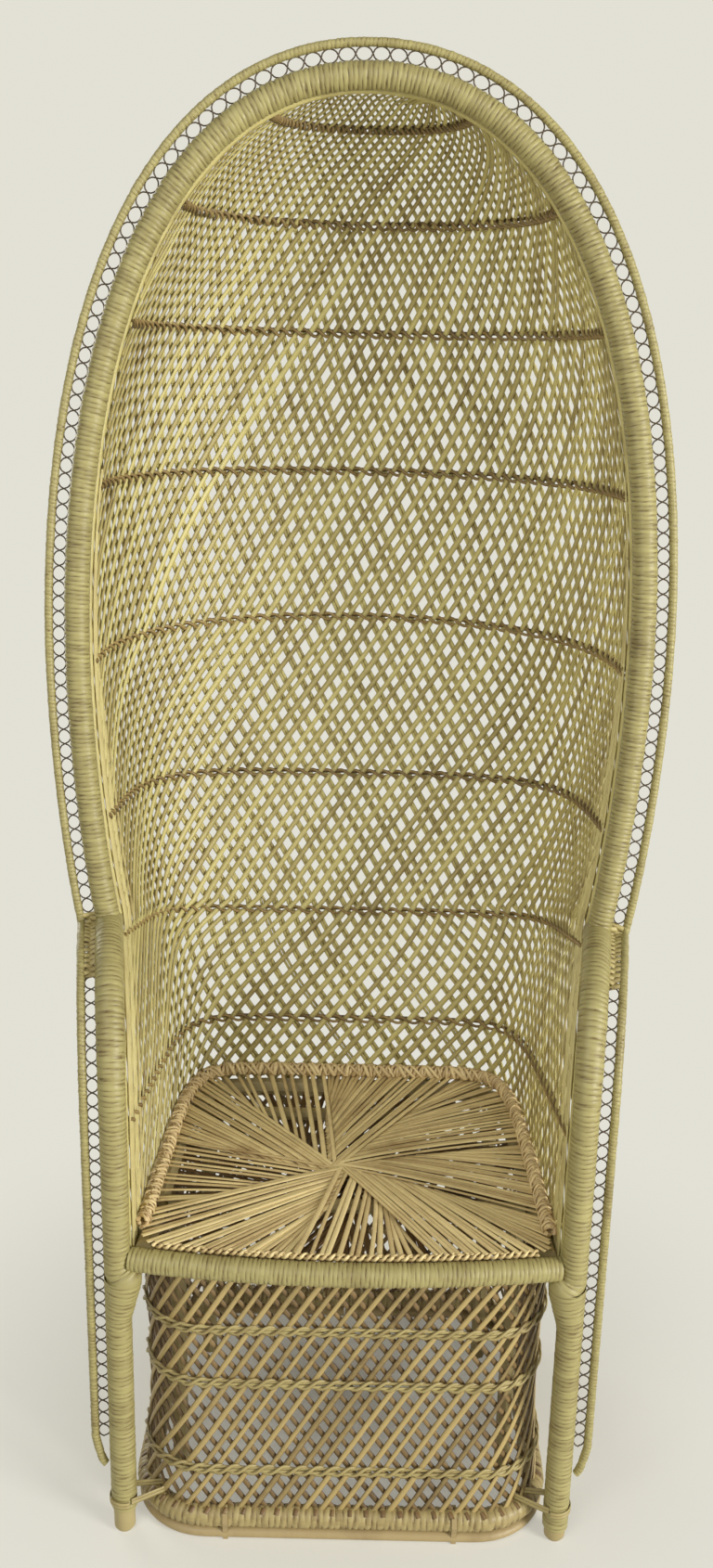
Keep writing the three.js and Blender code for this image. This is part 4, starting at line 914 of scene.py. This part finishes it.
ring_cane = wound_finish("ring cane", (0.42, 0.335, 0.14), (0.13, 0.072, 0.022), 0.75)
wound("base_ring_winding", [base_loop(0, ring_height, 400)], "bound_cane", "base_ring_binding",
      radius=ring_radius, turn_width=0.0074, seam_depth=0.0018, sides=18, finish=ring_cane)
tuck_radius = ring_radius + 0.0003
tuck_rows = [base_loop(-tuck_radius * math.cos(turn), ring_height + tuck_radius * math.sin(turn))
             for turn in (0.75, 1.05, 1.35)]
tuck_guide = woven_surface("tuck_guide", tuck_rows, (0, 0.5, 1), 1)
tuck_places = (np.arange(base_stakes) + chance.uniform(0.3, 0.6, base_stakes)) / base_stakes
laid("base_tucks", [drawn_line(place, np.linspace(0.02, 0.98, 5)) for place in tuck_places], "bound_cane",
     "base_ring_binding", guide=tuck_guide, width=0.0058, thickness=0.0012, uneven=0.25, sides=6, seed=37,
     finish=shaded_cane)
bpy.data.objects.remove(tuck_guide)
dressed(bare_pole, "base_ring_pole")
runner_cane = cane_finish("runner cane", (0.42, 0.32, 0.15), (0.15, 0.085, 0.03), variation=0.4)
runner_height, runner_half = mm(7.5, 10)
runner_rows = [base_loop(inset, runner_height) for inset in (runner_half, -runner_half)]
runner_guide = woven_surface("runner_guide", runner_rows, (0, 1), 1)
laid("base_split_runner", [drawn_line(np.linspace(0.0005, 0.9995, 400), 0.5)], "bare_pole", "base_runner",
     guide=runner_guide, width=0.023, thickness=0.0146, uneven=0.0, sides=14, seed=41, finish=runner_cane)
bpy.data.objects.remove(runner_guide)
dressed(runner_cane, *(f"runner_tie_{number}" for number in range(1, 7)))

# Foot lashings. A strip of flat cane goes twice round each post, just above its bare foot, and round the
# stakes at the corner of the base beside it, so the drum can't shift between the posts.
post_turn, base_turn = mm(17.2, 6.8)
tie_post, tie_base = np.array([post_x, front]), np.array([0.2195, front + 0.0155])
lead = tie_base - tie_post
bearing = math.atan2(lead[1], lead[0])
open_turn = math.acos((post_turn - base_turn) / np.linalg.norm(lead))


def arc(centre, radius, first, last, count):
    angles = np.linspace(first, last, count)
    return centre + radius * np.stack([np.cos(angles), np.sin(angles)], 1)


tie_loop = np.vstack([arc(tie_post, post_turn, bearing + open_turn, bearing + whole_turn - open_turn, 40),
                      arc(tie_base, base_turn, bearing - open_turn, bearing + open_turn, 20)])
tie_loop = np.vstack([tie_loop, tie_loop[:1]])
tie_low, tie_climb = 0.18, 0.32
share = np.linspace(0.001, 0.999, 90)
tie_turns = [drawn_line(share, tie_low + tie_climb * (share + number)) for number in (0, 1)]
for side, name in ((1, "right"), (-1, "left")):
    tie_rows = [np.c_[tie_loop, np.full(len(tie_loop), height)] * (side, 1, 1) for height in mm(40, 54)]
    tie_guide = woven_surface("tie_guide", tie_rows, (0, 1), side)
    laid(name + "_foot_lashing", tie_turns, "flat_cane", guide=tie_guide, width=0.0056, thickness=0.0014,
         uneven=0.05, sides=6, seed=43, finish=base_weave)
    bpy.data.objects.remove(tie_guide)

# The stage. A wide pale floor that runs out into the pale room, soft light from a large lamp at the right,
# weaker ones at the upper left and behind, and a camera in front of the chair, high up and tilted down.
floor_half, room_colour = 30, (0.765, 0.75, 0.665, 1)
floor_corners = [(x * floor_half, y * floor_half, 0) for x, y in ((-1, -1), (1, -1), (1, 1), (-1, 1))]
floor_mesh = bpy.data.meshes.new("floor")
floor_mesh.from_pydata(floor_corners, [], [(0, 1, 2, 3)])
floor = bpy.data.objects.new("floor", floor_mesh)
bpy.context.scene.collection.objects.link(floor)


def shown_to_eye(nodes, links):
    """1 where a ray comes straight from the camera or by way of gloss or glass."""
    ray = nodes.new("ShaderNodeLightPath").outputs
    shown = ray["Is Camera Ray"]
    for label in ("Is Glossy Ray", "Is Transmission Ray"):
        either = nodes.new("ShaderNodeMath")
        either.operation = "MAXIMUM"
        links.new(shown, either.inputs[0])
        links.new(ray[label], either.inputs[1])
        shown = either.outputs[0]
    return shown


def mix_to_surface(nodes, links, output, *sockets):
    """Joins a share and the two shaders that it mixes, in that order, to the output."""
    mix = nodes.new("ShaderNodeMixShader")
    for k, socket in enumerate(sockets):
        links.new(socket, mix.inputs[k])
    links.new(mix.outputs[0], nodes[output].inputs["Surface"])


floor_finish = bpy.data.materials.new("pale floor")
floor_finish.use_nodes = True
nodes, links = floor_finish.node_tree.nodes, floor_finish.node_tree.links
matt = nodes["Principled BSDF"]
matt.inputs["Base Color"].default_value = (0.88, 0.86, 0.765, 1)
matt.inputs["Roughness"].default_value = 0.9
room = nodes.new("ShaderNodeEmission")
room.inputs["Color"].default_value = room_colour
away = nodes.new("ShaderNodeVectorMath")
away.operation = "LENGTH"
links.new(nodes.new("ShaderNodeTexCoord").outputs["Object"], away.inputs[0])
fade = nodes.new("ShaderNodeMapRange")
fade.interpolation_type = "SMOOTHSTEP"
fade.inputs["From Min"].default_value = -0.1
fade.inputs["From Max"].default_value = 0.85
links.new(away.outputs["Value"], fade.inputs["Value"])
share = nodes.new("ShaderNodeMath")
share.operation = "MULTIPLY"
links.new(fade.outputs[0], share.inputs[0])
links.new(shown_to_eye(nodes, links), share.inputs[1])
mix_to_surface(nodes, links, "Material Output", share.outputs[0], matt.outputs[0], room.outputs[0])
floor_mesh.materials.append(floor_finish)

world = bpy.data.worlds.new("room")
bpy.context.scene.world = world
world.use_nodes = True
nodes, links = world.node_tree.nodes, world.node_tree.links
glow = nodes["Background"]
glow.inputs["Color"].default_value = (1.0, 0.99, 0.96, 1)
glow.inputs["Strength"].default_value = 0.22
seen = nodes.new("ShaderNodeBackground")
seen.inputs["Color"].default_value = room_colour
mix_to_surface(nodes, links, "World Output", shown_to_eye(nodes, links), glow.outputs[0], seen.outputs[0])

lamp_aim = Vector((0, 0, 0.85))
lamps = (("key", (4.4, -3.3, 1.9), 295, 1.7), ("fill", (-1.2, -2.5, 2.6), 38, 1.6),
         ("back", (-3.0, 3.2, 1.6), 70, 2.2))
for name, place, power, size in lamps:
    lamp = bpy.data.lights.new(name, "AREA")
    lamp.energy, lamp.size = power, size
    lamp_object = bpy.data.objects.new(name, lamp)
    bpy.context.scene.collection.objects.link(lamp_object)
    lamp_object.location = place
    lamp_object.rotation_euler = (lamp_aim - Vector(place)).to_track_quat("-Z", "Y").to_euler()

# Sight line and lens, found from the posts and bands of the chair in its picture of 768 by 1690
half_height, lens_length, look_down, camera_roll = 845, 1500, 16.5, 1.3
camera_reach, camera_height = 1.394, 1.38
camera = bpy.data.cameras.new("camera")
camera.sensor_fit = "VERTICAL"
camera.angle = 2 * math.atan(half_height / lens_length)
camera_object = bpy.data.objects.new("camera", camera)
bpy.context.scene.collection.objects.link(camera_object)
camera_object.location = (0, front - camera_reach, camera_height)
camera_object.rotation_mode = "ZXY"
camera_object.rotation_euler = (math.radians(90 - look_down), 0, 0)
bpy.context.view_layer.update()
tilt = camera_object.matrix_world.to_3x3() @ Vector((0, 0, 1))
camera_object.rotation_mode = "QUATERNION"
camera_object.rotation_quaternion = (
    Quaternion(tilt, math.radians(camera_roll)) @ camera_object.matrix_world.to_quaternion())
bpy.context.scene.camera = camera_object
bpy.context.scene.view_settings.view_transform = "Standard"
